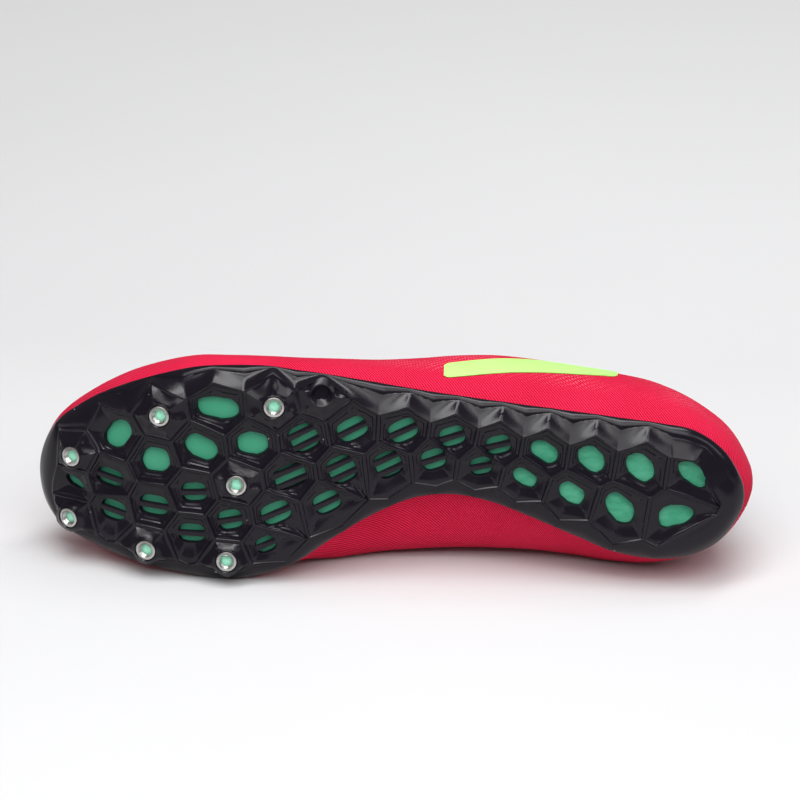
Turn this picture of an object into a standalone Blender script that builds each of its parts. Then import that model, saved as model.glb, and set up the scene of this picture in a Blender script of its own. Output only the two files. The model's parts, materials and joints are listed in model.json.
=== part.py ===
# A left track spike shoe, empty, lying on its medial side.
# The shoe is drawn in its own plan: u runs from heel to toe, v to the lateral side, h up from
# the ground under the ball. The pieces hang on one empty that lays the shoe down.
import math

import bmesh
import bpy
import numpy as np
from mathutils import Matrix, Vector
from mathutils.geometry import delaunay_2d_cdt

# Driving sizes, in metres
shoe_length = 0.288
ball_width = 0.089
waist_width = 0.041
heel_width = 0.056
collar_width = 0.068
heel_height = 0.067
instep_height = 0.0755
heel_rise = 0.0085
toe_spring = 0.022
edge_roll_radius = 0.013
edge_setback = 0.003
plate_wall = 0.0018
ridge_height = 0.0022
terrace_rise = 0.0008
rim_height = 0.0013
rim_inset = 0.0115
least_rim = 0.0026
rim_step = 0.0042
window_reach = 0.0050
bar_width = 0.0025
bar_thickness = 0.0011
bar_pitch = 0.0049
bar_seat = 0.0006
boss_height = 0.0038
boss_radius = 0.0058
receptacle_radius = 0.0041
receptacle_depth = 0.0046
receptacle_bore_radius = 0.00265
receptacle_floor = 0.0006
receptacle_bevel = 0.0005
receptacle_sides = 12
dimple_radius = 0.0030
dimple_depth = 0.0022
upper_wall = 0.0016
lasting_margin = 0.0080
board_thickness = 0.0014
board_gap = 0.0010
insole_thickness = 0.0030
insole_inset = 0.0020
tongue_thickness = 0.0026
tongue_tuck = 0.0110
tongue_clearance = 0.0010
tongue_rise = 0.0140
tongue_under_vamp = 0.0088
tongue_dip = 0.0036
lace_width = 0.0050
lace_thickness = 0.0011
eyelet_setback = 0.0070
eyelet_radius = 0.0018
clearance = 0.00035

corner_weld = 0.0016
eyelet_sides = 8
terrace_share = 0.38
window_squareness = 2.4
slat_squareness = 3.2
wall_fullness = 1.15
vamp_fullness = 1.25
steepest_roll = 0.97
# kg per cubic metre
densities = {"plate_plastic": 1050, "board_mint": 400, "spike_steel": 7800, "upper_woven": 500,
             "tongue_woven": 350, "insole_foam": 200, "lace_braid": 600}

widths = {"heel": heel_width, "waist": waist_width, "ball": ball_width}

# Sections from heel to toe. Lengths are shares of shoe_length, side places shares of the
# width that the row names, and heights shares of heel_height.
# width, edge at, edge out, edge in, last at, last out, last in, height out, height in
sections = [
    ("heel", 0.010, 0.000, 0.000, -0.005, 0.000, 0.000, 0.570, 0.570),
    ("heel", 0.017, 0.145, -0.150, 0.005, 0.170, -0.179, 0.570, 0.550),
    ("heel", 0.042, 0.340, -0.340, 0.033, 0.375, -0.384, 0.600, 0.550),
    ("heel", 0.083, 0.482, -0.454, 0.082, 0.545, -0.545, 0.630, 0.540),
    ("heel", 0.132, 0.530, -0.484, 0.132, 0.652, -0.625, 0.640, 0.540),
    ("heel", 0.188, 0.563, -0.438, 0.188, 0.714, -0.630, 0.660, 0.540),
    ("heel", 0.243, 0.595, -0.323, 0.243, 0.755, -0.598, 0.660, 0.550),
    ("heel", 0.299, 0.627, -0.196, 0.299, 0.796, -0.577, 0.660, 0.570),
    ("waist", 0.354, 0.902, -0.115, 0.354, 1.132, -0.780, 0.640, 0.570),
    ("waist", 0.410, 0.954, -0.034, 0.410, 1.144, -0.788, 0.580, 0.570),
    ("waist", 0.465, 1.015, -0.071, 0.465, 1.137, -0.805, 0.510, 0.550),
    ("ball", 0.521, 0.501, -0.112, 0.521, 0.530, -0.382, 0.420, 0.510),
    ("ball", 0.576, 0.531, -0.225, 0.576, 0.549, -0.396, 0.330, 0.430),
    ("ball", 0.625, 0.555, -0.337, 0.625, 0.566, -0.384, 0.250, 0.340),
    ("ball", 0.674, 0.574, -0.404, 0.674, 0.581, -0.396, 0.200, 0.260),
    ("ball", 0.722, 0.572, -0.426, 0.722, 0.580, -0.410, 0.210, 0.230),
    ("ball", 0.771, 0.556, -0.416, 0.771, 0.567, -0.402, 0.260, 0.250),
    ("ball", 0.826, 0.503, -0.390, 0.826, 0.517, -0.382, 0.330, 0.300),
    ("ball", 0.875, 0.442, -0.356, 0.875, 0.453, -0.354, 0.370, 0.345),
    ("ball", 0.924, 0.353, -0.306, 0.924, 0.360, -0.311, 0.400, 0.395),
    ("ball", 0.965, 0.244, -0.244, 0.965, 0.249, -0.248, 0.430, 0.425),
    ("ball", 0.988, 0.118, -0.148, 0.988, 0.121, -0.151, 0.450, 0.440),
    ("ball", 0.996, -0.011, -0.011, 0.997, -0.011, -0.011, 0.450, 0.450),
]
# The upper's top edge at the same sections, and from the throat's end on the vamp's ridge:
# at, out, in, height and how steeply the wall ends, in degrees. Side places are shares of
# collar_width and heights shares of instep_height.
top_edge = [
    (0.021, 0.000, 0.000, 0.887, 95),
    (0.028, 0.103, -0.103, 0.881, 92),
    (0.049, 0.235, -0.228, 0.861, 88),
    (0.087, 0.382, -0.353, 0.828, 84),
    (0.135, 0.485, -0.434, 0.795, 80),
    (0.191, 0.537, -0.456, 0.781, 78),
    (0.247, 0.559, -0.449, 0.808, 74),
    (0.299, 0.551, -0.412, 0.868, 66),
    (0.344, 0.471, -0.324, 0.947, 55),
    (0.392, 0.368, -0.228, 1.000, 45),
    (0.448, 0.309, -0.169, 0.954, 40),
    (0.507, 0.265, -0.125, 0.881, 34),
    (0.566, 0.228, -0.088, 0.801, 27),
    (0.618, 0.191, -0.051, 0.735, 19),
    (0.663, 0.125, 0.007, 0.682, 9),
    (0.688, 0.066, 0.066, 0.660, 0),
    (0.736, 0.071, 0.071, 0.623, 0),
    (0.792, 0.074, 0.074, 0.585, 0),
    (0.844, 0.063, 0.063, 0.559, 0),
    (0.892, 0.044, 0.044, 0.536, 0),
    (0.931, 0.024, 0.024, 0.515, 0),
    (0.955, 0.006, 0.006, 0.493, 0),
    (0.972, -0.012, -0.012, 0.468, 0),
]
tip = len(sections) - 1
around = 2 * tip
throat_top = 9
throat_end = 15
throat_step = ((top_edge[throat_end - 1][0] - top_edge[throat_top][0]) * shoe_length
               / (throat_end - 1 - throat_top))

# The sole's lowest line: share of shoe_length, then shares of heel_rise and of toe_spring
bottom_line = [
    (0.00, 1.18, 0.00), (0.10, 1.00, 0.00), (0.25, 1.00, 0.00), (0.40, 0.88, 0.00),
    (0.52, 0.47, 0.00), (0.62, 0.12, 0.00), (0.70, 0.00, 0.00), (0.80, 0.00, 0.07),
    (0.88, 0.00, 0.30), (0.94, 0.00, 0.59), (1.00, 0.00, 1.00),
]
# How far the medial edge rolls up along the shoe: share of shoe_length, share of the roll
arch_roll = [(0.0, 1.0), (0.22, 1.0), (0.32, 0.6), (0.48, 0.6), (0.60, 1.0), (1.0, 1.0)]

# How far inside the plate's edge the outer ridges turn in: share of shoe_length, then shares of
# rim_inset on the lateral and the medial side
rim_line = [
    (0.00, 0.70, 0.59), (0.08, 0.92, 0.72), (0.16, 1.00, 0.80), (0.30, 1.00, 0.72),
    (0.38, 0.88, 0.59), (0.46, 0.92, 0.59), (0.515, 0.95, 0.59), (0.57, 0.62, 0.59),
    (0.60, 0.59, 0.59), (1.00, 0.59, 0.59),
]

# Cells of the plate: at is a share of shoe_length, side runs from -1 at the medial edge to 1 at
# the lateral edge, long and short are shares of window_reach, turn is in degrees, with 0
# along the shoe. No window, and no bar count, on a spike's boss or on the plain boss.
# name, kind, at, side, long, short, turn, bars
cells = [
    ("spike_1", "spike", 0.810, 0.620, 0, 0, 0, 0),
    ("spike_2", "spike", 0.936, 0.305, 0, 0, 0, 0),
    ("spike_3", "spike", 0.941, -0.630, 0, 0, 0, 0),
    ("spike_4", "spike", 0.831, -0.760, 0, 0, 0, 0),
    ("spike_5", "spike", 0.720, -0.775, 0, 0, 0, 0),
    ("spike_6", "spike", 0.706, -0.065, 0, 0, 0, 0),
    ("spike_7", "spike", 0.655, 0.660, 0, 0, 0, 0),
    ("boss", "boss", 0.592, 0.790, 0, 0, 0, 0),
    ("toe_out", "open", 0.873, 0.470, 1.26, 0.86, 53, 0),
    ("fore_mid", "open", 0.820, 0.160, 1.10, 0.98, 0, 0),
    ("fore_out", "open", 0.756, 0.265, 1.30, 0.90, -26, 0),
    ("ball_out", "open", 0.732, 0.630, 1.58, 0.86, -7, 0),
    ("ball_mid", "open", 0.685, 0.295, 1.18, 0.90, 0, 0),
    ("toe_slit", "open", 0.938, -0.110, 0.76, 0.30, -30, 0),
    ("toe_mid", "slats", 0.886, -0.030, 1.04, 0.66, -13, 1),
    ("toe_in", "slats", 0.882, -0.425, 0.96, 0.76, -13, 1),
    ("fore_in", "slats", 0.823, -0.310, 1.10, 0.78, -5, 1),
    ("tread_mid", "slats", 0.766, -0.160, 0.94, 0.74, 4, 1),
    ("tread_in", "slats", 0.770, -0.555, 1.00, 0.72, 0, 1),
    ("ball_in", "slats", 0.716, -0.410, 0.92, 0.78, 12, 1),
    ("shank_1", "slats", 0.615, 0.320, 1.10, 1.04, 28, 2),
    ("shank_2", "slats", 0.634, -0.055, 1.28, 0.86, 25, 2),
    ("shank_3", "slats", 0.653, -0.395, 1.16, 0.82, 25, 1),
    ("shank_4", "slats", 0.667, -0.680, 0.76, 0.58, 25, 1),
    ("shank_5", "slats", 0.549, 0.350, 1.16, 0.84, 28, 1),
    ("shank_6", "slats", 0.563, -0.150, 1.06, 1.04, 27, 2),
    ("shank_7", "slats", 0.583, -0.490, 1.04, 0.78, 27, 1),
    ("waist_1", "slats", 0.480, 0.280, 1.10, 0.84, 25, 1),
    ("waist_2", "slats", 0.500, -0.260, 1.02, 0.98, 26, 2),
    ("waist_3", "slats", 0.413, 0.210, 0.96, 0.76, 18, 1),
    ("waist_4", "slats", 0.438, -0.270, 0.90, 0.78, 19, 1),
    ("waist_5", "slats", 0.350, 0.195, 0.92, 0.72, 15, 1),
    ("waist_6", "slats", 0.373, -0.300, 0.80, 0.68, 12, 1),
    ("heel_1", "open", 0.287, 0.270, 1.10, 0.74, -33, 0),
    ("heel_2", "open", 0.313, -0.280, 0.98, 0.60, -31, 0),
    ("heel_3", "open", 0.223, 0.340, 1.14, 0.86, -50, 0),
    ("heel_4", "open", 0.248, -0.280, 1.08, 0.72, -37, 0),
    ("heel_5", "open", 0.156, 0.360, 1.24, 0.90, -49, 0),
    ("heel_6", "open", 0.182, -0.270, 1.34, 0.90, -48, 0),
    ("heel_7", "open", 0.083, 0.360, 1.28, 0.74, -41, 0),
    ("heel_8", "open", 0.105, -0.300, 1.30, 0.90, 9, 0),
]
# The border cells in order around the plate. A name given twice turns a corner.
border = [
    "heel_7", "heel_5", "heel_3", "heel_1", "waist_5", "waist_3", "waist_1", "shank_5", "boss",
    "spike_7", "ball_out", "spike_1", "toe_out", "spike_2", "toe_slit", "spike_3", "spike_3",
    "toe_in", "spike_4", "tread_in", "spike_5", "shank_4", "shank_7", "waist_2", "waist_4",
    "waist_6", "heel_2", "heel_4", "heel_6", "heel_8", "heel_8", "heel_7",
]
# Where the laces cross the throat, and where the tongue is shaped, in sections
lace_sections = [9.45, 10.25, 11.05, 11.85, 12.6, 13.3]
tongue_sections = [9.5, 10.1, 10.9, 11.7, 12.5, 13.4, 14.0]


def smooth_line(rows):
    # A smooth curve through rows of place and value, read at any place
    xs, ys = np.array(rows, float).T
    slopes = np.gradient(ys, xs)

    def at(x):
        x = np.clip(x, xs[0], xs[-1])
        i = np.clip(np.searchsorted(xs, x) - 1, 0, len(xs) - 2)
        span = xs[i + 1] - xs[i]
        t = (x - xs[i]) / span
        start = (1 + 2 * t) * (1 - t) ** 2 * ys[i] + t * (1 - t) ** 2 * span * slopes[i]
        return start + t * t * (3 - 2 * t) * ys[i + 1] + t * t * (t - 1) * span * slopes[i + 1]

    return at


def on_loop(rows, places):
    # Rows of a closed loop read at any place along it, counted in rows
    places = np.asarray(places, float)
    i = np.floor(places).astype(int)
    t = (places - i)[:, None]
    a, b, c, d = (rows[(i + k) % len(rows)] for k in (-1, 0, 1, 2))
    return 0.5 * (2 * b + (c - a) * t + (2 * a - 5 * b + 4 * c - d) * t ** 2
                  + (3 * b - a - 3 * c + d) * t ** 3)


def section_rows():
    # Both sides of every section in metres, once around: heel, lateral side, toe, medial side
    out_rows, in_rows = [], []
    for section, top in zip(sections, top_edge):
        width = widths[section[0]]
        edge_at, edge_out, edge_in, last_at, last_out, last_in, high_out, high_in = section[1:]
        top_at, top_out, top_in, top_high, rise = top
        for rows, edge, last, high, side in (
                (out_rows, edge_out, last_out, high_out, top_out),
                (in_rows, edge_in, last_in, high_in, top_in)):
            rows.append((edge_at * shoe_length, edge * width, last_at * shoe_length,
                         last * width, high * heel_height, top_at * shoe_length,
                         side * collar_width, top_high * instep_height, rise))
    return np.array(out_rows + in_rows[-2:0:-1])


rows_around = section_rows()
outline = on_loop(rows_around, np.arange(0, around, 1 / 8))[:, :2]
lowest = smooth_line([(at * shoe_length, heel * heel_rise + toe * toe_spring)
                      for at, heel, toe in bottom_line])
rim_out = smooth_line([(at * shoe_length, out * rim_inset) for at, out, _ in rim_line])
rim_in = smooth_line([(at * shoe_length, inner * rim_inset) for at, _, inner in rim_line])
medial_roll = smooth_line([(at * shoe_length, share) for at, share in arch_roll])
edge_out_line = smooth_line(rows_around[:tip + 1, :2])
edge_in_line = smooth_line(np.vstack([rows_around[:1, :2], rows_around[:tip - 1:-1, :2]]))


def in_plan(at, side):
    # A place in plan from a share of the length and a share of the way to either edge
    u = at * shoe_length
    out, inner = edge_out_line(u), edge_in_line(u)
    return np.array([u, (out + inner) / 2 + side * (out - inner) / 2])


def nearest_edge(points):
    # How far points lie inside the plate's outline, and where along it the nearest place is
    points = np.atleast_2d(points)
    start = outline
    run = np.roll(outline, -1, axis=0) - start
    away = points[:, None] - start
    t = np.clip((away * run).sum(2) / (run ** 2).sum(1), 0, 1)
    gap = np.linalg.norm(away - t[..., None] * run, axis=2)
    best = gap.argmin(1)
    pick = np.arange(len(points))
    crossing = (start[:, 1] > points[:, 1:]) != ((start + run)[:, 1] > points[:, 1:])
    slope = run[:, 0] / np.where(run[:, 1] == 0, 1e-12, run[:, 1])
    reached = points[:, :1] < start[:, 0] + slope * (points[:, 1:] - start[:, 1])
    inside = (crossing & reached).sum(1) % 2 == 1
    return np.where(inside, 1, -1) * gap[pick, best], best + t[pick, best]


def edge_place(places):
    # Points of the outline at places counted along it, and the way inward there
    places = np.asarray(places, float)
    i = np.floor(places).astype(int)
    t = (places - i)[:, None]
    start, end = outline[i % len(outline)], outline[(i + 1) % len(outline)]
    before, after = outline[(i - 1) % len(outline)], outline[(i + 2) % len(outline)]
    run = (1 - t) * (end - before) + t * (after - start)
    inward = np.stack([run[:, 1], -run[:, 0]], 1)
    return start + t * (end - start), inward / np.linalg.norm(inward, axis=1)[:, None]


def sole_height(points):
    # Height of the plate's floor: the lowest line, rolled up towards the outline
    inset = nearest_edge(points)[0]
    reach = np.clip(edge_roll_radius - inset - edge_setback, 0, edge_roll_radius * steepest_roll)
    roll = edge_roll_radius - np.sqrt(edge_roll_radius ** 2 - reach ** 2)
    middle = (edge_out_line(points[:, 0]) + edge_in_line(points[:, 0])) / 2
    share = np.where(points[:, 1] < middle, medial_roll(points[:, 0]), 1.0)
    return lowest(points[:, 0]) + roll * share


def sole_skin(points, lift):
    # Points over the sole's floor, lifted along its normal; lift may differ by point
    points = np.atleast_2d(points)
    step = 0.0003
    along = sole_height(points + [step, 0]) - sole_height(points - [step, 0])
    aside = sole_height(points + [0, step]) - sole_height(points - [0, step])
    normal = np.stack([-along, -aside, np.full(len(points), 2 * step)], 1)
    normal /= np.linalg.norm(normal, axis=1)[:, None]
    base = np.column_stack([points, sole_height(points)])
    return base + normal * np.reshape(lift * np.ones(len(points)), (-1, 1))


def wall_frame(places):
    # The upper at places around it: its edge over the plate, widest point and top, with the
    # directions in which the wall leaves the first and reaches the last
    places = np.asarray(places, float)
    rows = on_loop(rows_around, places % around)
    other = on_loop(rows_around, (around - places) % around)
    station = np.where(places % around > tip, around - places % around, places % around)
    vamp = (station >= throat_end)[:, None]
    top = np.where(vamp, (rows[:, 5:8] + other[:, 5:8]) / 2, rows[:, 5:8])
    rise = np.radians(np.where(vamp[:, 0], 0, rows[:, 8]))
    _, start = nearest_edge(rows[:, :2])
    edge, inward = edge_place(start)
    foot = sole_skin(edge, plate_wall + clearance)
    leave = foot - sole_skin(edge + inward * 0.0006, plate_wall + clearance)
    leave /= np.linalg.norm(leave, axis=1)[:, None]
    widest = np.column_stack([rows[:, 2:4], rows[:, 4]])
    plan = top[:, :2] - widest[:, :2]
    plan /= np.maximum(np.linalg.norm(plan, axis=1), 1e-9)[:, None]
    ridge = smooth_line([(at * shoe_length, high * instep_height)
                         for at, _, _, high, _ in top_edge[throat_end:]])
    fall = (ridge(top[:, 0] + 0.001) - ridge(top[:, 0] - 0.001)) / 0.002
    lean = np.where(vamp[:, 0], fall * plan[:, 0], 0)
    reach = np.column_stack([plan * np.cos(rise)[:, None], np.sin(rise) + lean])
    return edge, inward, foot, leave, widest, top, reach


def bend(start, leave, end, reach, t):
    return ((1 + 2 * t) * (1 - t) ** 2 * start + t * (1 - t) ** 2 * leave
            + t * t * (3 - 2 * t) * end + t * t * (t - 1) * reach)


def wall_point(frame, t):
    # The wall's outer face from its widest line (t 0) to its top edge (t 1)
    _, _, _, _, widest, top, reach = frame
    plan = np.linalg.norm(top[:, :2] - widest[:, :2], axis=1)[:, None]
    climb = np.abs(top[:, 2:] - widest[:, 2:])
    up = np.array([0, 0, 1.0]) * (climb + 0.25 * plan) * wall_fullness
    t = np.reshape(t * np.ones(len(plan)), (-1, 1))
    return bend(widest, up, top, reach * (plan * vamp_fullness + 0.35 * climb), t)


def wall_offset(place, drops, lift):
    # Points of the wall at given ways below its top edge, lifted off its outer face
    frame, before, after = (wall_frame([place + aside]) for aside in (0, -0.05, 0.05))
    ts = np.linspace(1, 0, 41)
    path = np.array([wall_point(frame, t)[0] for t in ts])
    run = np.concatenate([[0], np.cumsum(np.linalg.norm(np.diff(path, axis=0), axis=1))])
    lifted = []
    for t in np.interp(drops, run, ts):
        here = wall_point(frame, t)[0]
        up = wall_point(frame, t + 0.02)[0] - wall_point(frame, t - 0.02)[0]
        along = wall_point(after, t)[0] - wall_point(before, t)[0]
        out = np.cross(up, along)
        lifted.append(here + out / np.linalg.norm(out) * lift)
    return np.array(lifted)


class Shape:
    # Points and faces of one solid, gathered before it becomes a mesh
    def __init__(self):
        self.points = []
        self.faces = []

    def add(self, points):
        first = len(self.points)
        self.points.extend(tuple(p) for p in np.atleast_2d(points))
        return list(range(first, len(self.points)))

    def band(self, one, two):
        for k in range(len(one)):
            n = (k + 1) % len(one)
            self.faces.append((one[k], one[n], two[n], two[k]))

    def fan(self, loop, centre):
        for k in range(len(loop)):
            self.faces.append((loop[k], loop[(k + 1) % len(loop)], centre))


def to_scene(point):
    # From the plan's u, v, h to the upright shoe, with its toe to -X and lateral side to -Y
    return (-point[0], -point[1], point[2])


def build_object(name, shape, material, parent, smooth_degrees=40, merge=1e-5):
    mesh = bpy.data.meshes.new(name)
    bm = bmesh.new()
    points = [bm.verts.new(to_scene(p)) for p in shape.points]
    for face in shape.faces:
        corners = [points[k] for k in dict.fromkeys(face)]
        if len(corners) > 2 and not bm.faces.get(corners):
            bm.faces.new(corners)
    bmesh.ops.remove_doubles(bm, verts=bm.verts, dist=merge)
    bmesh.ops.dissolve_degenerate(bm, edges=bm.edges, dist=merge)
    loose = [v for v in bm.verts if not v.link_faces]
    bmesh.ops.delete(bm, geom=loose, context="VERTS")
    bmesh.ops.recalc_face_normals(bm, faces=bm.faces)
    bm.to_mesh(mesh)
    bm.free()
    mesh.shade_smooth()
    mesh.set_sharp_from_angle(angle=math.radians(smooth_degrees))
    mesh.materials.append(material)
    thing = bpy.data.objects.new(name, mesh)
    bpy.context.scene.collection.objects.link(thing)
    thing.parent = parent
    return thing


def make_material(name, colour, roughness, metallic=0.0):
    material = bpy.data.materials.new(name)
    material.use_nodes = True
    shader = material.node_tree.nodes["Principled BSDF"]
    shader.inputs["Base Color"].default_value = (*colour, 1)
    shader.inputs["Roughness"].default_value = roughness
    shader.inputs["Metallic"].default_value = metallic
    return material


def clip(polygon, middle, normal):
    # The part of a convex polygon on the near side of a line
    kept = []
    for k, end in enumerate(polygon):
        start = polygon[k - 1]
        a, b = (start - middle) @ normal, (end - middle) @ normal
        if (a < 0) != (b < 0):
            kept.append(start + (end - start) * a / (a - b))
        if b < 0:
            kept.append(end)
    return kept


def cell_sites():
    return {row[0]: in_plan(row[2], row[3]) for row in cells}


def outer_sites(sites):
    # Helper places outside the plate that give the border cells their pointed outer edges
    helpers = []
    for one, two in zip(border, border[1:]):
        middle = (sites[one] + sites[two]) / 2
        half = np.linalg.norm(sites[one] - sites[two]) / 2
        inset, place = nearest_edge(middle)
        edge, inward = edge_place(place)
        outer = middle[1] > (edge_out_line(middle[0]) + edge_in_line(middle[0])) / 2
        rim = (rim_out if outer else rim_in)(middle[0])
        low = max(inset[0] - rim, boss_radius * 1.15 if one == two else 0.001)
        helpers.append(middle - inward[0] * (low + math.hypot(low, half)))
    return helpers


def cell_polygons():
    # Corners shared by the cells, and each cell's corner numbers in order
    sites = cell_sites()
    everyone = list(sites.values()) + outer_sites(sites)
    corners = []
    polygons = {}
    for name, site in sites.items():
        square = [site + ball_width * np.array(c) for c in ((-1, -1), (1, -1), (1, 1), (-1, 1))]
        for other in everyone:
            if other is not site:
                square = clip(square, (site + other) / 2, other - site)
        ring = []
        for point in square:
            gaps = [np.linalg.norm(point - corner) for corner in corners]
            if gaps and min(gaps) < corner_weld:
                number = int(np.argmin(gaps))
            else:
                number = len(corners)
                corners.append(point)
            if number not in ring:
                ring.append(number)
        polygons[name] = ring
    corners = np.array(corners)
    inset, place = nearest_edge(corners)
    edge, inward = edge_place(place)
    near = inset < least_rim
    corners[near] = (edge + inward * least_rim)[near]
    return corners, polygons


def border_loop(polygons):
    # Corner numbers along the outer side of the border cells
    runs = {(ring[k - 1], ring[k]) for ring in polygons.values() for k in range(len(ring))}
    follow = {a: b for a, b in runs if (b, a) not in runs}
    start = min(follow)
    loop = [start]
    while follow[loop[-1]] != start:
        loop.append(follow[loop[-1]])
    return loop


def window_ring(row, site, toward):
    # The window's edge in the directions of the given points
    turn = math.radians(row[6])
    along = np.array([-math.cos(turn), math.sin(turn)])
    aside = np.array([math.sin(turn), math.cos(turn)])
    way = toward - site
    way /= np.linalg.norm(way, axis=1)[:, None]
    square = slat_squareness if row[7] else window_squareness
    reach = ((np.abs(way @ along) / row[4]) ** square
             + (np.abs(way @ aside) / row[5]) ** square) ** (-1 / square)
    return site + way * reach[:, None] * window_reach


def seat_frame(site):
    # A spike seat's centre on the floor and its axes: two across and one inward
    here = sole_skin(site, 0)[0]
    inward = sole_skin(site, 1)[0] - here
    across = np.cross(inward, [0, 1.0, 0])
    across /= np.linalg.norm(across)
    return here, across, np.cross(inward, across), inward


def seat_ring(site, toward, radius, depth):
    # An even ring of a seat, one corner for each given point and turned to match them, drawn
    # round a circle of the radius; depth is below the floor
    here, across, aside, inward = seat_frame(site)
    way = np.column_stack([toward - site, np.zeros(len(toward))])
    angles = np.arctan2(way @ aside, way @ across)
    count = len(angles)
    order = 1 if (np.diff(angles) % (2 * math.pi) < math.pi).sum() > count / 2 else -1
    even = order * 2 * math.pi * np.arange(count) / count
    start = np.angle(np.exp(1j * (angles - even)).sum())
    ring = np.outer(np.cos(start + even), across) + np.outer(np.sin(start + even), aside)
    return here + ring * radius / math.cos(math.pi / count) - inward * depth


def plate_shape():
    corners, polygons = cell_polygons()
    sites = cell_sites()
    shape = Shape()
    loop = border_loop(polygons)
    on_border = set(loop)
    high = np.where([k in on_border for k in range(len(corners))], rim_height, ridge_height)
    shape.add(sole_skin(corners, -high))
    middles = {}
    plan = {k: corners[k] for k in range(len(corners))}

    def between(a, b):
        # The points that part the edge from one corner to another, made once for both cells
        key = (min(a, b), max(a, b))
        if key not in middles:
            high = ridge_height if key in shared else rim_height
            parts = max(2, round(np.linalg.norm(corners[b] - corners[a]) / rim_step))
            parts = 2 if key in shared else parts
            share = np.arange(1, parts)[:, None] / parts
            points = corners[key[0]] + (corners[key[1]] - corners[key[0]]) * share
            middles[key] = shape.add(sole_skin(points, -high))
            plan.update(zip(middles[key], points))
        return middles[key] if key == (a, b) else middles[key][::-1]

    def parted(ring):
        return [k for a, b in zip(ring, ring[1:] + ring[:1]) for k in [a] + between(a, b)]

    runs = {(ring[k - 1], ring[k]) for ring in polygons.values() for k in range(len(ring))}
    shared = {run for run in runs if (run[1], run[0]) in runs}
    window_loops = []
    for row in cells:
        site = sites[row[0]]
        ring = parted(polygons[row[0]])
        toward = np.array([plan[k] for k in ring])
        if row[1] in ("spike", "boss"):
            top = shape.add(seat_ring(site, toward, boss_radius, boss_height))
            shape.band(ring, top)
            if row[1] == "spike":
                bore = receptacle_radius + clearance
                mouth = shape.add(seat_ring(site, toward, bore, boss_height))
                deep = boss_height - receptacle_depth - clearance
                floor = shape.add(seat_ring(site, toward, bore, deep))
                shape.band(top, mouth)
                shape.band(mouth, floor)
                here, _, _, inward = seat_frame(site)
                shape.fan(floor, shape.add(here - inward * deep)[0])
            else:
                brim = shape.add(seat_ring(site, toward, dimple_radius, boss_height))
                here, _, _, inward = seat_frame(site)
                shape.band(top, brim)
                shape.fan(brim, shape.add(here - inward * (boss_height - dimple_depth))[0])
            continue
        window = window_ring(row, site, toward)
        step = toward + terrace_share * (window - toward)
        terrace = shape.add(sole_skin(step, -terrace_rise))
        opening = shape.add(sole_skin(window, 0))
        inside = shape.add(sole_skin(window, plate_wall))
        shape.band(ring, terrace)
        shape.band(terrace, opening)
        shape.band(opening, inside)
        window_loops.append((inside, window))
    rim = parted(loop)
    rim_plan = np.array([plan[k] for k in rim])
    places = even_places(nearest_edge(rim_plan)[1])
    edge, inward = edge_place(places)
    half_way = shape.add(sole_skin((rim_plan + edge) / 2, -rim_height * 0.6))
    outer_edge = shape.add(sole_skin(edge, 0))
    inner_rings = [shape.add(sole_skin(edge + inward * inset, plate_wall))
                   for inset in (0, lasting_margin / 2, lasting_margin)]
    shape.band(rim, half_way)
    shape.band(half_way, outer_edge)
    shape.band(outer_edge, inner_rings[0])
    for one, two in zip(inner_rings, inner_rings[1:]):
        shape.band(one, two)
    fill_inside(shape, (inner_rings[-1], edge + inward * lasting_margin), window_loops)
    return shape


def even_places(places):
    # Places along the outline in one running order, with no two closer than a small step
    count = len(outline)
    steps = np.diff(places, append=places[:1])
    steps = (steps + count / 2) % count - count / 2
    if steps.sum() < 0:
        steps = np.minimum(steps, -0.25)
    else:
        steps = np.maximum(steps, 0.25)
    steps *= count / abs(steps.sum())
    run = places[0] + np.concatenate([[0], np.cumsum(steps)[:-1]])
    drift = (places - run + count / 2) % count - count / 2
    return (run + np.mean(drift)) % count


def inside_loop(point, loop):
    ends = np.roll(loop, -1, axis=0)
    crossing = (loop[:, 1] > point[1]) != (ends[:, 1] > point[1])
    rise = np.where(ends[:, 1] == loop[:, 1], 1e-12, ends[:, 1] - loop[:, 1])
    reached = point[0] < loop[:, 0] + (ends - loop)[:, 0] * (point[1] - loop[:, 1]) / rise
    return (crossing & reached).sum() % 2 == 1


def fill_inside(shape, outer, holes):
    # The plate's inner face between its last ring and the windows
    numbers, points, runs = [], [], []
    for ring, plan in [outer] + holes:
        first = len(points)
        numbers += ring
        points += [Vector(p) for p in plan]
        runs += [(first + k, first + (k + 1) % len(ring)) for k in range(len(ring))]
    placed, _, triangles, origins, _, _ = delaunay_2d_cdt(points, runs, [], 0, 1e-7)
    for triangle in triangles:
        centre = np.mean([placed[k][:] for k in triangle], axis=0)
        if inside_loop(centre, outer[1]) and not any(inside_loop(centre, h[1]) for h in holes):
            shape.faces.append(tuple(numbers[origins[k][0]] for k in triangle))


def bar_shape():
    # The bars across the slatted windows, each with its ends in the plate
    shape = Shape()
    for row in cells:
        if not row[7]:
            continue
        site = in_plan(row[2], row[3])
        turn = math.radians(row[6])
        along = np.array([-math.cos(turn), math.sin(turn)])
        aside = np.array([math.sin(turn), math.cos(turn)])
        for number in range(row[7]):
            middle = site + aside * (number - (row[7] - 1) / 2) * bar_pitch
            reach = row[4] * window_reach + bar_seat
            plan = [middle + along * a * reach + aside * b * bar_width / 2
                    for a, b in ((-1, -1), (0, -1), (1, -1), (1, 1), (0, 1), (-1, 1))]
            lift = (plate_wall - bar_thickness) / 2
            high = shape.add(sole_skin(np.array(plan), lift + bar_thickness))
            low = shape.add(sole_skin(np.array(plan), lift))
            shape.band(low, high)
            for ring in (low, high):
                shape.faces += [(ring[0], ring[1], ring[4], ring[5]),
                                (ring[1], ring[2], ring[3], ring[4])]
    return shape


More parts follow.
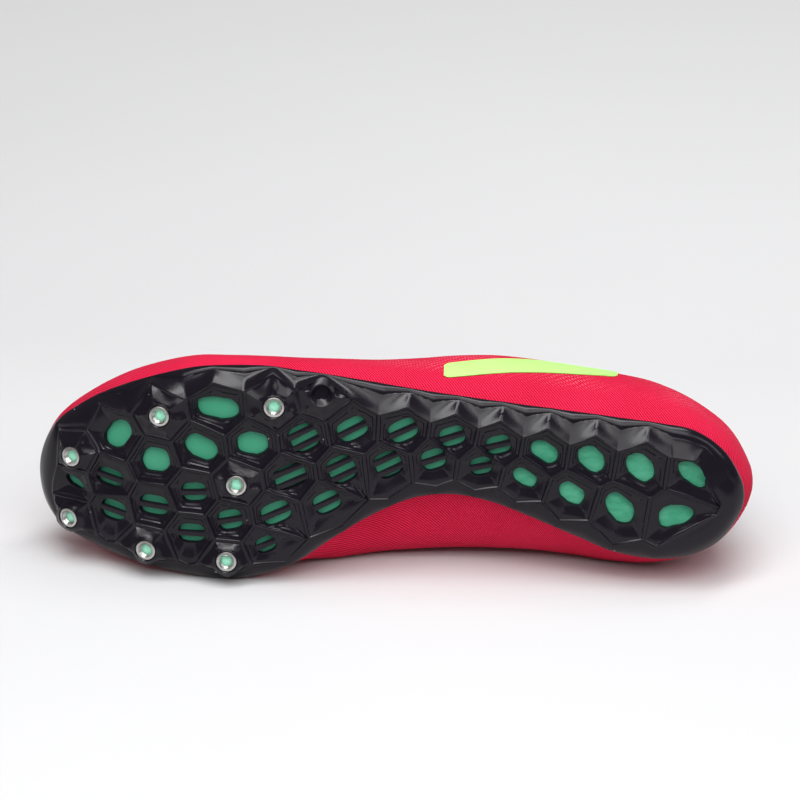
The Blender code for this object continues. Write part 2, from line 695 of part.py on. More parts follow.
def upper_shape(steps):
    # The upper's outer face in columns: turned in under the foot, round the last, to its top
    places = np.arange(0, around, 1 / steps)
    frame = wall_frame(places)
    edge, inward, foot, leave, widest = frame[:5]
    lift = plate_wall + clearance
    rings = [sole_skin(edge + inward * inset, lift)
             for inset in (lasting_margin, lasting_margin / 2, 0)]
    span = np.linalg.norm(widest - foot, axis=1)[:, None]
    up = np.array([0, 0, 1.0]) * span * 1.1
    for t in (0.33, 0.66, 1.0):
        rings.append(bend(foot, leave * span * 1.1, widest, up, t))
    for t in (0.28, 0.54, 0.78, 1.0):
        rings.append(wall_point(frame, t))
    shape = Shape()
    numbers = [shape.add(ring) for ring in rings]
    for one, two in zip(numbers, numbers[1:]):
        shape.band(one, two)
    return shape


def bed_shape(insets, lift, thickness, steps):
    # A sheet that follows the sole: rings at its insets, then the line midway between the sides
    places = np.arange(0, around, 1 / steps)
    rows = on_loop(rows_around, places)
    edge, inward = edge_place(nearest_edge(rows[:, :2])[1])
    inner = edge + inward * insets[-1]
    middle = (inner + inner[(-np.arange(len(inner))) % len(inner)]) / 2
    shape = Shape()
    faces = []
    for height in (lift, lift + thickness):
        rings = [shape.add(sole_skin(edge + inward * inset, height)) for inset in insets]
        rings.append(shape.add(sole_skin(middle, height)))
        for one, two in zip(rings, rings[1:]):
            shape.band(one, two)
        faces.append(rings[0])
    shape.band(*faces)
    return shape


def sheet_shape(low, high):
    # A closed sheet between two grids of points
    shape = Shape()
    low_rows = [shape.add(row) for row in low]
    high_rows = [shape.add(row) for row in high]
    for rows in (low_rows, high_rows):
        for one, two in zip(rows, rows[1:]):
            for k in range(len(one) - 1):
                shape.faces.append((one[k], one[k + 1], two[k + 1], two[k]))

    def rim(rows):
        side = [row[-1] for row in rows]
        back = [row[0] for row in rows]
        return rows[0] + side[1:] + rows[-1][-2::-1] + back[-2:0:-1]

    shape.band(rim(low_rows), rim(high_rows))
    return shape


def across_throat(place, drops, lift):
    # A path over the throat at one section: up its lateral wall, a crown, and the medial wall
    near = 0.003
    lateral, medial = (wall_offset(side, (*drops, near), lift) for side in (place, around - place))
    leave, land = lateral[-2] - lateral[-1], medial[-2] - medial[-1]
    lateral, medial = lateral[:-1], medial[:-1]
    gap = np.linalg.norm(medial[-1] - lateral[-1])
    leave *= gap / np.linalg.norm(leave)
    land *= -gap / np.linalg.norm(land)
    crown = [bend(lateral[-1], leave, medial[-1], land, t) for t in (0.25, 0.5, 0.75)]
    return np.vstack([lateral, crown, medial[::-1]])


def tongue_shape():
    drops = (tongue_tuck, tongue_tuck / 2, 0)
    lift = -(upper_wall + tongue_clearance)
    top = [across_throat(place, drops, lift) for place in tongue_sections]
    rise = top[0].copy()
    climb = top[0] - top[1]
    climb = climb.mean(0) / np.linalg.norm(climb.mean(0))
    rise += climb * tongue_rise
    tuck = top[-1].copy()
    tuck += np.array([tongue_under_vamp, 0, -tongue_dip])
    top = np.array([rise] + top + [tuck])
    along = np.gradient(top, axis=0)
    across = np.gradient(top, axis=1)
    out = np.cross(across, along)
    out /= np.linalg.norm(out, axis=2)[..., None]
    out *= np.sign(out[3, 4, 2])
    return sheet_shape(top - out * tongue_thickness, top)


def lace_shape(place):
    drops = (eyelet_setback + eyelet_radius, eyelet_setback / 2, 0)
    half = lace_width / 2 / throat_step
    low = [across_throat(place + side, drops, clearance) for side in (-half, half)]
    high = [across_throat(place + side, drops, clearance + lace_thickness)
            for side in (-half, half)]
    return sheet_shape(np.array(low), np.array(high))


def receptacle_shape():
    # A steel cup in its own frame: mouth at z 0, floor above it
    shape = Shape()
    turn = 2 * math.pi * np.arange(receptacle_sides) / receptacle_sides

    def ring(radius, height):
        return shape.add(np.column_stack([radius * np.cos(turn), radius * np.sin(turn),
                                          np.full(receptacle_sides, height)]))

    rings = [
        ring(receptacle_radius, receptacle_depth), ring(receptacle_radius, receptacle_bevel),
        ring(receptacle_radius - receptacle_bevel, 0), ring(receptacle_bore_radius, 0),
        ring(receptacle_bore_radius, receptacle_depth - receptacle_floor),
    ]
    for one, two in zip(rings, rings[1:]):
        shape.band(one, two)
    shape.fan(rings[0], shape.add((0, 0, receptacle_depth))[0])
    shape.fan(rings[-1], shape.add((0, 0, receptacle_depth - receptacle_floor))[0])
    return shape


def place_receptacle(name, site, shape, material, parent):
    here, across, aside, inward = seat_frame(site)
    thing = build_object(name, shape, material, parent)
    mouth = here - inward * boss_height
    turned = Matrix([to_scene(across), to_scene(aside), to_scene(inward)]).transposed()
    flip = Matrix.Rotation(math.pi, 3, "Z")
    thing.matrix_local = Matrix.Translation(to_scene(mouth)) @ (turned @ flip).to_4x4()
    return thing


def add_boolean(thing, cutter, operation):
    cut = thing.modifiers.new(cutter.name, "BOOLEAN")
    cut.operation = operation
    cut.solver = "EXACT"
    cut.object = cutter
    cutter.hide_render = True
    cutter.display_type = "WIRE"


def eyelet_cutters():
    shape = Shape()
    turn = 2 * math.pi * np.arange(eyelet_sides) / eyelet_sides
    through = 2.5 * upper_wall
    for place in lace_sections:
        for side in (place, around - place):
            middle = wall_offset(side, [eyelet_setback], 0)[0]
            out = wall_offset(side, [eyelet_setback], 1)[0] - middle
            across = np.cross(out, [1.0, 0, 0])
            across /= np.linalg.norm(across)
            ring = (np.outer(np.cos(turn), across)
                    + np.outer(np.sin(turn), np.cross(out, across))) * eyelet_radius
            ends = [shape.add(middle + ring + out * reach) for reach in (-through, through)]
            shape.band(*ends)
            for end in ends:
                shape.faces.append(tuple(end))
    return shape


def solid_points(thing):
    # World points and the volume and centre of an object as it shows, modifiers included
    shown = thing.evaluated_get(bpy.context.evaluated_depsgraph_get())
    mesh = shown.to_mesh()
    mesh.calc_loop_triangles()
    points = np.array([(thing.matrix_world @ v.co)[:] for v in mesh.vertices])
    corners = points[np.array([t.vertices[:] for t in mesh.loop_triangles])]
    shown.to_mesh_clear()
    volumes = np.einsum("ij,ij->i", corners[:, 0], np.cross(corners[:, 1], corners[:, 2])) / 6
    centre = (corners.sum(1) / 4 * volumes[:, None]).sum(0) / volumes.sum()
    return points, volumes.sum(), centre


def resting_turn(things):
    # The turn that sets the shoe down on the medial facet of its hull under its weight
    bpy.context.view_layer.update()
    clouds, weight, moment = [], 0.0, np.zeros(3)
    for thing in things:
        points, volume, centre = solid_points(thing)
        mass = volume * densities[thing.data.materials[0].name]
        clouds.append(points)
        weight += mass
        moment += centre * mass
    centre = Vector(moment / weight)
    bm = bmesh.new()
    for point in np.vstack(clouds):
        bm.verts.new(point)
    hull = bmesh.ops.convex_hull(bm, input=bm.verts)
    faces = [f for f in hull["geom"] if isinstance(f, bmesh.types.BMFace)]
    bmesh.ops.recalc_face_normals(bm, faces=faces)
    best = max(faces, key=lambda f: floor_score(f, centre))
    down = best.normal.copy()
    bm.free()
    up = -down
    along = Vector((1, 0, 0)) - up * up.x
    along.normalize()
    return Matrix([along, up.cross(along), up]).to_4x4(), np.vstack(clouds)


def floor_score(face, centre):
    # How well a hull facet carries the weight: its least distance inside its own edges
    if face.normal.y < 0.6:
        return -1.0
    inside = []
    for loop in face.loops:
        start, end = loop.vert.co, loop.link_loop_next.vert.co
        side = face.normal.cross((end - start).normalized())
        inside.append((centre - start).dot(side))
    return min(inside)


def main():
    for thing in list(bpy.data.objects):
        bpy.data.objects.remove(thing, do_unlink=True)
    plastic = make_material("plate_plastic", (0.018, 0.016, 0.022), 0.28)
    mint = make_material("board_mint", (0.05, 0.36, 0.22), 0.55)
    steel = make_material("spike_steel", (0.62, 0.60, 0.58), 0.28, 1.0)
    woven = make_material("upper_woven", (0.72, 0.01, 0.045), 0.75)
    padding = make_material("tongue_woven", (0.50, 0.01, 0.03), 0.85)
    lining = make_material("insole_foam", (0.03, 0.03, 0.035), 0.9)
    braid = make_material("lace_braid", (0.55, 0.012, 0.04), 0.8)

    rest = bpy.data.objects.new("rest", None)
    bpy.context.scene.collection.objects.link(rest)

    plate = build_object("outsole_plate", plate_shape(), plastic, rest, 30)
    bars = build_object("window_bars", bar_shape(), plastic, rest)
    add_boolean(plate, bars, "UNION")

    upper = build_object("upper", upper_shape(2), woven, rest, 50)
    wall = upper.modifiers.new("wall", "SOLIDIFY")
    wall.thickness = upper_wall
    wall.offset = -1
    holes = build_object("eyelet_holes", eyelet_cutters(), woven, rest)
    add_boolean(upper, holes, "DIFFERENCE")

    lift = plate_wall + clearance
    flat_from = edge_roll_radius - edge_setback
    board = build_object("board", bed_shape((lasting_margin + board_gap,), lift,
                                            board_thickness, 2), mint, rest)
    over = lift + upper_wall + clearance
    insole = build_object("insole", bed_shape((insole_inset, flat_from), over,
                                              insole_thickness, 2), lining, rest)
    tongue = build_object("tongue", tongue_shape(), padding, rest)
    things = [plate, upper, board, insole, tongue]
    for number, place in enumerate(lace_sections, 1):
        things.append(build_object(f"lace_bar_{number}", lace_shape(place), braid, rest))
    sites = cell_sites()
    for number in range(1, 8):
        things.append(place_receptacle(f"spike_receptacle_{number}", sites[f"spike_{number}"],
                                       receptacle_shape(), steel, rest))

    turn, points = resting_turn(things)
    turned = points @ np.array(turn.to_3x3()).T
    low, high = turned.min(0), turned.max(0)
    rest.matrix_world = Matrix.Translation(
        (-(low[0] + high[0]) / 2, -(low[1] + high[1]) / 2, -low[2])) @ turn


main()
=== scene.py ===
# Looks of a left track spike shoe that lies on its side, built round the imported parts.
import json
import math

import bpy
import numpy as np
from mathutils import Matrix, Vector


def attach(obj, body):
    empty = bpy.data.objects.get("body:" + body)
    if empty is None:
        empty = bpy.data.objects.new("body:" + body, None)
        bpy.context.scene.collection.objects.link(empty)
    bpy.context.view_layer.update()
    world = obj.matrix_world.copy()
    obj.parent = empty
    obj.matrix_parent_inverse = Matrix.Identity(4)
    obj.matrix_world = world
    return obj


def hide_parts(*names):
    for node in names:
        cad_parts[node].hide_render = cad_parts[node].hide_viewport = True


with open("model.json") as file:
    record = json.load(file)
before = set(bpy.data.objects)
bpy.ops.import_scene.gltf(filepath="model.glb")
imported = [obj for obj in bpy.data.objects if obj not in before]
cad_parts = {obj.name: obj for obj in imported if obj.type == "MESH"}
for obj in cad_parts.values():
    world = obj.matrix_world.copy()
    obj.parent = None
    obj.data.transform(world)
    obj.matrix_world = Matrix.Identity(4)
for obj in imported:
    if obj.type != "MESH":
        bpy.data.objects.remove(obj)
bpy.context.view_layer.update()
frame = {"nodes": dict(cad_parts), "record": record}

print("plan: the last and the plate's cells")

# Sizes in metres, the same as the solids have
shoeLength = 0.288
ballWidth = 0.089
waistWidth = 0.041
heelWidth = 0.056
collarWidth = 0.068
heelHeight = 0.067
instepHeight = 0.0755
heelRise = 0.0085
toeSpring = 0.022
edgeRollRadius = 0.013
edgeSetback = 0.003
plateWall = 0.0018
ridgeHeight = 0.0022
rimHeight = 0.0013
rimInset = 0.0115
leastRim = 0.0026
windowReach = 0.0050
barWidth = 0.0025
barThickness = 0.0011
barPitch = 0.0049
barSeat = 0.0006
bossHeight = 0.0038
bossRadius = 0.0058
receptacleRadius = 0.0041
receptacleDepth = 0.0046
receptacleBevel = 0.0005
receptacleBoreRadius = 0.00265
dimpleRadius = 0.0030
dimpleDepth = 0.0022
upperWall = 0.0016
lastingMargin = 0.0080
boardThickness = 0.0014
boardGap = 0.0010
insoleThickness = 0.0030
insoleInset = 0.0020
eyeletSetback = 0.0070
eyeletRadius = 0.0018
clearance = 0.00035
# Ratios, the same as the solids have
windowSquareness = 2.4
slatSquareness = 3.2
wallFullness = 1.15
vampFullness = 1.25
steepestRoll = 0.97
lowFullness = 1.1
# How the plate's outer ridges differ from the solids: corners nearer than cornerWeld are one, no
# corner at the heel's end lies nearer to the edge than heelRim, and a window's outer peak lies at
# a share of its neighbours' distance from the edge. Lengths are in metres, starts and the heel's
# fade are shares of shoeLength.
cornerWeld = 0.0021
heelRim = 0.0090
heelStart = 0.105
heelFade = 0.03
peakShare = 0.62
toeShare = 0.95
toeStart = 0.93
toeFade = 0.02
middleFade = 0.004
widths = {"heel": heelWidth, "waist": waistWidth, "ball": ballWidth}

# Sections from heel to toe. Lengths are shares of shoeLength, side places shares of the
# width that the row names, and heights shares of heelHeight.
# width, edge at, edge out, edge in, last at, last out, last in, height out, height in
sections = [
    ("heel", 0.010, 0.000, 0.000, -0.005, 0.000, 0.000, 0.570, 0.570),
    ("heel", 0.017, 0.145, -0.150, 0.005, 0.170, -0.179, 0.570, 0.550),
    ("heel", 0.042, 0.340, -0.340, 0.033, 0.375, -0.384, 0.600, 0.550),
    ("heel", 0.083, 0.482, -0.454, 0.082, 0.545, -0.545, 0.630, 0.540),
    ("heel", 0.132, 0.530, -0.484, 0.132, 0.652, -0.625, 0.640, 0.540),
    ("heel", 0.188, 0.563, -0.438, 0.188, 0.714, -0.630, 0.660, 0.540),
    ("heel", 0.243, 0.595, -0.323, 0.243, 0.755, -0.598, 0.660, 0.550),
    ("heel", 0.299, 0.627, -0.196, 0.299, 0.796, -0.577, 0.660, 0.570),
    ("waist", 0.354, 0.902, -0.115, 0.354, 1.132, -0.780, 0.640, 0.570),
    ("waist", 0.410, 0.954, -0.034, 0.410, 1.144, -0.788, 0.580, 0.570),
    ("waist", 0.465, 1.015, -0.071, 0.465, 1.137, -0.805, 0.510, 0.550),
    ("ball", 0.521, 0.501, -0.112, 0.521, 0.530, -0.382, 0.420, 0.510),
    ("ball", 0.576, 0.531, -0.225, 0.576, 0.549, -0.396, 0.330, 0.430),
    ("ball", 0.625, 0.555, -0.337, 0.625, 0.566, -0.384, 0.250, 0.340),
    ("ball", 0.674, 0.574, -0.404, 0.674, 0.581, -0.396, 0.200, 0.260),
    ("ball", 0.722, 0.572, -0.426, 0.722, 0.580, -0.410, 0.210, 0.230),
    ("ball", 0.771, 0.556, -0.416, 0.771, 0.567, -0.402, 0.260, 0.250),
    ("ball", 0.826, 0.503, -0.390, 0.826, 0.517, -0.382, 0.330, 0.300),
    ("ball", 0.875, 0.442, -0.356, 0.875, 0.453, -0.354, 0.370, 0.345),
    ("ball", 0.924, 0.353, -0.306, 0.924, 0.360, -0.311, 0.400, 0.395),
    ("ball", 0.965, 0.244, -0.244, 0.965, 0.249, -0.248, 0.430, 0.425),
    ("ball", 0.988, 0.118, -0.148, 0.988, 0.121, -0.151, 0.450, 0.440),
    ("ball", 0.996, -0.011, -0.011, 0.997, -0.011, -0.011, 0.450, 0.450),
]
# The upper's top edge at the same sections, and from the throat's end on the vamp's ridge:
# at, out, in, height and how steeply the wall ends, in degrees. Side places are shares of
# collarWidth and heights shares of instepHeight.
topEdge = [
    (0.021, 0.000, 0.000, 0.887, 95),
    (0.028, 0.103, -0.103, 0.881, 92),
    (0.049, 0.235, -0.228, 0.861, 88),
    (0.087, 0.382, -0.353, 0.828, 84),
    (0.135, 0.485, -0.434, 0.795, 80),
    (0.191, 0.537, -0.456, 0.781, 78),
    (0.247, 0.559, -0.449, 0.808, 74),
    (0.299, 0.551, -0.412, 0.868, 66),
    (0.344, 0.471, -0.324, 0.947, 55),
    (0.392, 0.368, -0.228, 1.000, 45),
    (0.448, 0.309, -0.169, 0.954, 40),
    (0.507, 0.265, -0.125, 0.881, 34),
    (0.566, 0.228, -0.088, 0.801, 27),
    (0.618, 0.191, -0.051, 0.735, 19),
    (0.663, 0.125, 0.007, 0.682, 9),
    (0.688, 0.066, 0.066, 0.660, 0),
    (0.736, 0.071, 0.071, 0.623, 0),
    (0.792, 0.074, 0.074, 0.585, 0),
    (0.844, 0.063, 0.063, 0.559, 0),
    (0.892, 0.044, 0.044, 0.536, 0),
    (0.931, 0.024, 0.024, 0.515, 0),
    (0.955, 0.006, 0.006, 0.493, 0),
    (0.972, -0.012, -0.012, 0.468, 0),
]
tip = len(sections) - 1
around = 2 * tip
throatEnd = 15

# The sole's lowest line: share of shoeLength, then shares of heelRise and of toeSpring
bottomLine = [
    (0.00, 1.18, 0.00), (0.10, 1.00, 0.00), (0.25, 1.00, 0.00), (0.40, 0.88, 0.00),
    (0.52, 0.47, 0.00), (0.62, 0.12, 0.00), (0.70, 0.00, 0.00), (0.80, 0.00, 0.07),
    (0.88, 0.00, 0.30), (0.94, 0.00, 0.59), (1.00, 0.00, 1.00),
]
# How far the medial edge rolls up along the shoe: share of shoeLength, share of the roll
archRoll = [(0.0, 1.0), (0.22, 1.0), (0.32, 0.6), (0.48, 0.6), (0.60, 1.0), (1.0, 1.0)]
# How far inside the plate's edge the outer ridges turn in: share of shoeLength, then shares of
# rimInset on the lateral and the medial side. The forefoot's lateral shares are the looks' own.
rimLine = [
    (0.00, 0.70, 0.59), (0.08, 0.92, 0.72), (0.16, 1.00, 0.80), (0.30, 1.00, 0.72),
    (0.38, 0.88, 0.59), (0.46, 0.92, 0.59), (0.515, 0.95, 0.59), (0.57, 0.62, 0.59),
    (0.645, 0.62, 0.59), (0.70, 0.80, 0.59), (0.92, 0.80, 0.59), (1.00, 0.59, 0.59),
]

# Cells of the plate: at is a share of shoeLength, side runs from -1 at the medial edge to 1 at
# the lateral edge, long and short are shares of windowReach, turn is in degrees, with 0
# along the shoe. No window, and no bar count, on a spike's boss or on the plain boss.
# name, kind, at, side, long, short, turn, bars
cells = [
    ("spike_1", "spike", 0.810, 0.620, 0, 0, 0, 0),
    ("spike_2", "spike", 0.936, 0.305, 0, 0, 0, 0),
    ("spike_3", "spike", 0.941, -0.630, 0, 0, 0, 0),
    ("spike_4", "spike", 0.831, -0.760, 0, 0, 0, 0),
    ("spike_5", "spike", 0.720, -0.775, 0, 0, 0, 0),
    ("spike_6", "spike", 0.706, -0.065, 0, 0, 0, 0),
    ("spike_7", "spike", 0.655, 0.660, 0, 0, 0, 0),
    ("boss", "boss", 0.592, 0.790, 0, 0, 0, 0),
    ("toe_out", "open", 0.873, 0.470, 1.26, 0.86, 53, 0),
    ("fore_mid", "open", 0.820, 0.160, 1.10, 0.98, 0, 0),
    ("fore_out", "open", 0.756, 0.265, 1.30, 0.90, -26, 0),
    ("ball_out", "open", 0.732, 0.630, 1.58, 0.86, -7, 0),
    ("ball_mid", "open", 0.685, 0.295, 1.18, 0.90, 0, 0),
    ("toe_slit", "open", 0.938, -0.110, 0.76, 0.30, -30, 0),
    ("toe_mid", "slats", 0.886, -0.030, 1.04, 0.66, -13, 1),
    ("toe_in", "slats", 0.882, -0.425, 0.96, 0.76, -13, 1),
    ("fore_in", "slats", 0.823, -0.310, 1.10, 0.78, -5, 1),
    ("tread_mid", "slats", 0.766, -0.160, 0.94, 0.74, 4, 1),
    ("tread_in", "slats", 0.770, -0.555, 1.00, 0.72, 0, 1),
    ("ball_in", "slats", 0.716, -0.410, 0.92, 0.78, 12, 1),
    ("shank_1", "slats", 0.615, 0.320, 1.10, 1.04, 28, 2),
    ("shank_2", "slats", 0.634, -0.055, 1.28, 0.86, 25, 2),
    ("shank_3", "slats", 0.653, -0.395, 1.16, 0.82, 25, 1),
    ("shank_4", "slats", 0.667, -0.680, 0.76, 0.58, 25, 1),
    ("shank_5", "slats", 0.549, 0.350, 1.16, 0.84, 28, 1),
    ("shank_6", "slats", 0.563, -0.150, 1.06, 1.04, 27, 2),
    ("shank_7", "slats", 0.583, -0.490, 1.04, 0.78, 27, 1),
    ("waist_1", "slats", 0.480, 0.280, 1.10, 0.84, 25, 1),
    ("waist_2", "slats", 0.500, -0.260, 1.02, 0.98, 26, 2),
    ("waist_3", "slats", 0.413, 0.210, 0.96, 0.76, 18, 1),
    ("waist_4", "slats", 0.438, -0.270, 0.90, 0.78, 19, 1),
    ("waist_5", "slats", 0.350, 0.195, 0.92, 0.72, 15, 1),
    ("waist_6", "slats", 0.373, -0.300, 0.80, 0.68, 12, 1),
    ("heel_1", "open", 0.287, 0.270, 1.10, 0.74, -33, 0),
    ("heel_2", "open", 0.313, -0.280, 0.98, 0.60, -31, 0),
    ("heel_3", "open", 0.223, 0.340, 1.14, 0.86, -50, 0),
    ("heel_4", "open", 0.248, -0.280, 1.08, 0.72, -37, 0),
    ("heel_5", "open", 0.156, 0.360, 1.24, 0.90, -49, 0),
    ("heel_6", "open", 0.182, -0.270, 1.34, 0.90, -48, 0),
    ("heel_7", "open", 0.083, 0.360, 1.28, 0.74, -41, 0),
    ("heel_8", "open", 0.105, -0.300, 1.30, 0.90, 9, 0),
]
# The border cells in order around the plate. A name given twice turns a corner.
border = [
    "heel_7", "heel_5", "heel_3", "heel_1", "waist_5", "waist_3", "waist_1", "shank_5", "boss",
    "spike_7", "ball_out", "spike_1", "toe_out", "spike_2", "toe_slit", "spike_3", "spike_3",
    "toe_in", "spike_4", "tread_in", "spike_5", "shank_4", "shank_7", "waist_2", "waist_4",
    "waist_6", "heel_2", "heel_4", "heel_6", "heel_8", "heel_8", "heel_7",
]
laceSections = [9.45, 10.25, 11.05, 11.85, 12.6, 13.3]


def smoothLine(rows):
    # A smooth curve through rows of place and value, read at any place
    xs, ys = np.array(rows, float).T
    slopes = np.gradient(ys, xs)

    def at(x):
        x = np.clip(x, xs[0], xs[-1])
        i = np.clip(np.searchsorted(xs, x) - 1, 0, len(xs) - 2)
        span = xs[i + 1] - xs[i]
        t = (x - xs[i]) / span
        start = (1 + 2 * t) * (1 - t) ** 2 * ys[i] + t * (1 - t) ** 2 * span * slopes[i]
        return start + t * t * (3 - 2 * t) * ys[i + 1] + t * t * (t - 1) * span * slopes[i + 1]

    return at


def onLoop(rows, places):
    # Rows of a closed loop read at any place along it, counted in rows
    places = np.asarray(places, float)
    i = np.floor(places).astype(int)
    t = (places - i)[:, None]
    a, b, c, d = (rows[(i + k) % len(rows)] for k in (-1, 0, 1, 2))
    return 0.5 * (2 * b + (c - a) * t + (2 * a - 5 * b + 4 * c - d) * t ** 2
                  + (3 * b - a - 3 * c + d) * t ** 3)


def sectionRows():
    # Both sides of every section in metres, once around: heel, lateral side, toe, medial side
    outRows, inRows = [], []
    for section, top in zip(sections, topEdge):
        width = widths[section[0]]
        edgeAt, edgeOut, edgeIn, lastAt, lastOut, lastIn, highOut, highIn = section[1:]
        topAt, topOut, topIn, topHigh, rise = top
        for rows, edge, last, high, side in (
                (outRows, edgeOut, lastOut, highOut, topOut),
                (inRows, edgeIn, lastIn, highIn, topIn)):
            rows.append((edgeAt * shoeLength, edge * width, lastAt * shoeLength,
                         last * width, high * heelHeight, topAt * shoeLength,
                         side * collarWidth, topHigh * instepHeight, rise))
    return np.array(outRows + inRows[-2:0:-1])


rowsAround = sectionRows()
outline = onLoop(rowsAround, np.arange(0, around, 1 / 8))[:, :2]
lowest = smoothLine([(at * shoeLength, heel * heelRise + toe * toeSpring)
                      for at, heel, toe in bottomLine])
rimOut = smoothLine([(at * shoeLength, out * rimInset) for at, out, _ in rimLine])
rimIn = smoothLine([(at * shoeLength, inner * rimInset) for at, _, inner in rimLine])
medialRoll = smoothLine([(at * shoeLength, share) for at, share in archRoll])
edgeOutLine = smoothLine(rowsAround[:tip + 1, :2])
edgeInLine = smoothLine(np.vstack([rowsAround[:1, :2], rowsAround[:tip - 1:-1, :2]]))


def inPlan(at, side):
    # A place in plan from a share of the length and a share of the way to either edge
    u = at * shoeLength
    out, inner = edgeOutLine(u), edgeInLine(u)
    return np.array([u, (out + inner) / 2 + side * (out - inner) / 2])


def nearestEdge(points):
    # How far points lie inside the plate's outline, and where along it the nearest place is
    points = np.atleast_2d(points)
    start = outline
    run = np.roll(outline, -1, axis=0) - start
    away = points[:, None] - start
    t = np.clip((away * run).sum(2) / (run ** 2).sum(1), 0, 1)
    gap = np.linalg.norm(away - t[..., None] * run, axis=2)
    best = gap.argmin(1)
    pick = np.arange(len(points))
    crossing = (start[:, 1] > points[:, 1:]) != ((start + run)[:, 1] > points[:, 1:])
    slope = run[:, 0] / np.where(run[:, 1] == 0, 1e-12, run[:, 1])
    reached = points[:, :1] < start[:, 0] + slope * (points[:, 1:] - start[:, 1])
    inside = (crossing & reached).sum(1) % 2 == 1
    return np.where(inside, 1, -1) * gap[pick, best], best + t[pick, best]


def edgePlace(places):
    # Points of the outline at places counted along it, and the way inward there
    places = np.asarray(places, float)
    i = np.floor(places).astype(int)
    t = (places - i)[:, None]
    start, end = outline[i % len(outline)], outline[(i + 1) % len(outline)]
    before, after = outline[(i - 1) % len(outline)], outline[(i + 2) % len(outline)]
    run = (1 - t) * (end - before) + t * (after - start)
    inward = np.stack([run[:, 1], -run[:, 0]], 1)
    return start + t * (end - start), inward / np.linalg.norm(inward, axis=1)[:, None]


def soleHeight(points):
    # Height of the plate's floor: the lowest line, rolled up towards the outline
    inset = nearestEdge(points)[0]
    reach = np.clip(edgeRollRadius - inset - edgeSetback, 0, edgeRollRadius * steepestRoll)
    roll = edgeRollRadius - np.sqrt(edgeRollRadius ** 2 - reach ** 2)
    middle = (edgeOutLine(points[:, 0]) + edgeInLine(points[:, 0])) / 2
    share = np.where(points[:, 1] < middle, medialRoll(points[:, 0]), 1.0)
    return lowest(points[:, 0]) + roll * share


def soleSkin(points, lift):
    # Points over the sole's floor, lifted along its normal; lift may differ by point
    points = np.atleast_2d(points)
    step = 0.0003
    along = soleHeight(points + [step, 0]) - soleHeight(points - [step, 0])
    aside = soleHeight(points + [0, step]) - soleHeight(points - [0, step])
    normal = np.stack([-along, -aside, np.full(len(points), 2 * step)], 1)
    normal /= np.linalg.norm(normal, axis=1)[:, None]
    base = np.column_stack([points, soleHeight(points)])
    return base + normal * np.reshape(lift * np.ones(len(points)), (-1, 1))


def wallFrame(places):
    # The upper at places around it: its edge over the plate, widest point and top, with the
    # directions in which the wall leaves the first and reaches the last
    places = np.asarray(places, float)
    rows = onLoop(rowsAround, places % around)
    other = onLoop(rowsAround, (around - places) % around)
    station = np.where(places % around > tip, around - places % around, places % around)
    vamp = (station >= throatEnd)[:, None]
    top = np.where(vamp, (rows[:, 5:8] + other[:, 5:8]) / 2, rows[:, 5:8])
    rise = np.radians(np.where(vamp[:, 0], 0, rows[:, 8]))
    edge, inward = edgePlace(nearestEdge(rows[:, :2])[1])
    foot = soleSkin(edge, plateWall + clearance)
    leave = foot - soleSkin(edge + inward * 0.0006, plateWall + clearance)
    leave /= np.linalg.norm(leave, axis=1)[:, None]
    widest = np.column_stack([rows[:, 2:4], rows[:, 4]])
    plan = top[:, :2] - widest[:, :2]
    plan /= np.maximum(np.linalg.norm(plan, axis=1), 1e-9)[:, None]
    ridge = smoothLine([(at * shoeLength, high * instepHeight)
                         for at, _, _, high, _ in topEdge[throatEnd:]])
    fall = (ridge(top[:, 0] + 0.001) - ridge(top[:, 0] - 0.001)) / 0.002
    lean = np.where(vamp[:, 0], fall * plan[:, 0], 0)
    reach = np.column_stack([plan * np.cos(rise)[:, None], np.sin(rise) + lean])
    return edge, inward, foot, leave, widest, top, reach


def bend(start, leave, end, reach, t):
    return ((1 + 2 * t) * (1 - t) ** 2 * start + t * (1 - t) ** 2 * leave
            + t * t * (3 - 2 * t) * end + t * t * (t - 1) * reach)


def wallPoint(frameAt, t):
    # The wall's outer face from its widest line (t 0) to its top edge (t 1)
    widest, top, reach = frameAt[4:]
    plan = np.linalg.norm(top[:, :2] - widest[:, :2], axis=1)[:, None]
    climb = np.abs(top[:, 2:] - widest[:, 2:])
    up = np.array([0, 0, 1.0]) * (climb + 0.25 * plan) * wallFullness
    t = np.reshape(t * np.ones(len(plan)), (-1, 1))
    return bend(widest, up, top, reach * (plan * vampFullness + 0.35 * climb), t)


def wallAt(frameAt, height):
    # A point of the wall: 0 at the sole, 1 at the widest place and 2 at the top edge
    if height > 1:
        return wallPoint(frameAt, height - 1)
    foot, leave, widest = frameAt[2:5]
    span = np.linalg.norm(widest - foot, axis=1)[:, None] * lowFullness
    return bend(foot, leave * span, widest, np.array([0, 0, 1.0]) * span, height)


def liftOff(pointAt, frames, height, lift):
    # A point of the wall lifted off its outer face; frames are here, before and after
    here, before, after = frames
    up = pointAt(here, height + 0.02)[0] - pointAt(here, height - 0.02)[0]
    out = np.cross(up, pointAt(after, height)[0] - pointAt(before, height)[0])
    return pointAt(here, height)[0] + out / np.linalg.norm(out) * lift


def framesBeside(place):
    return [wallFrame([place + aside]) for aside in (0, -0.05, 0.05)]


def wayAlong(points):
    # How far each point lies along an open path
    return np.concatenate([[0], np.cumsum(np.linalg.norm(np.diff(points, axis=0), axis=1))])


def wallOffset(place, drops, lift):
    # Points of the wall at given ways below its top edge, lifted off its outer face
    frames = framesBeside(place)
    ts = np.linspace(1, 0, 41)
    run = wayAlong(np.array([wallPoint(frames[0], t)[0] for t in ts]))
    return np.array([liftOff(wallPoint, frames, t, lift) for t in np.interp(drops, run, ts)])


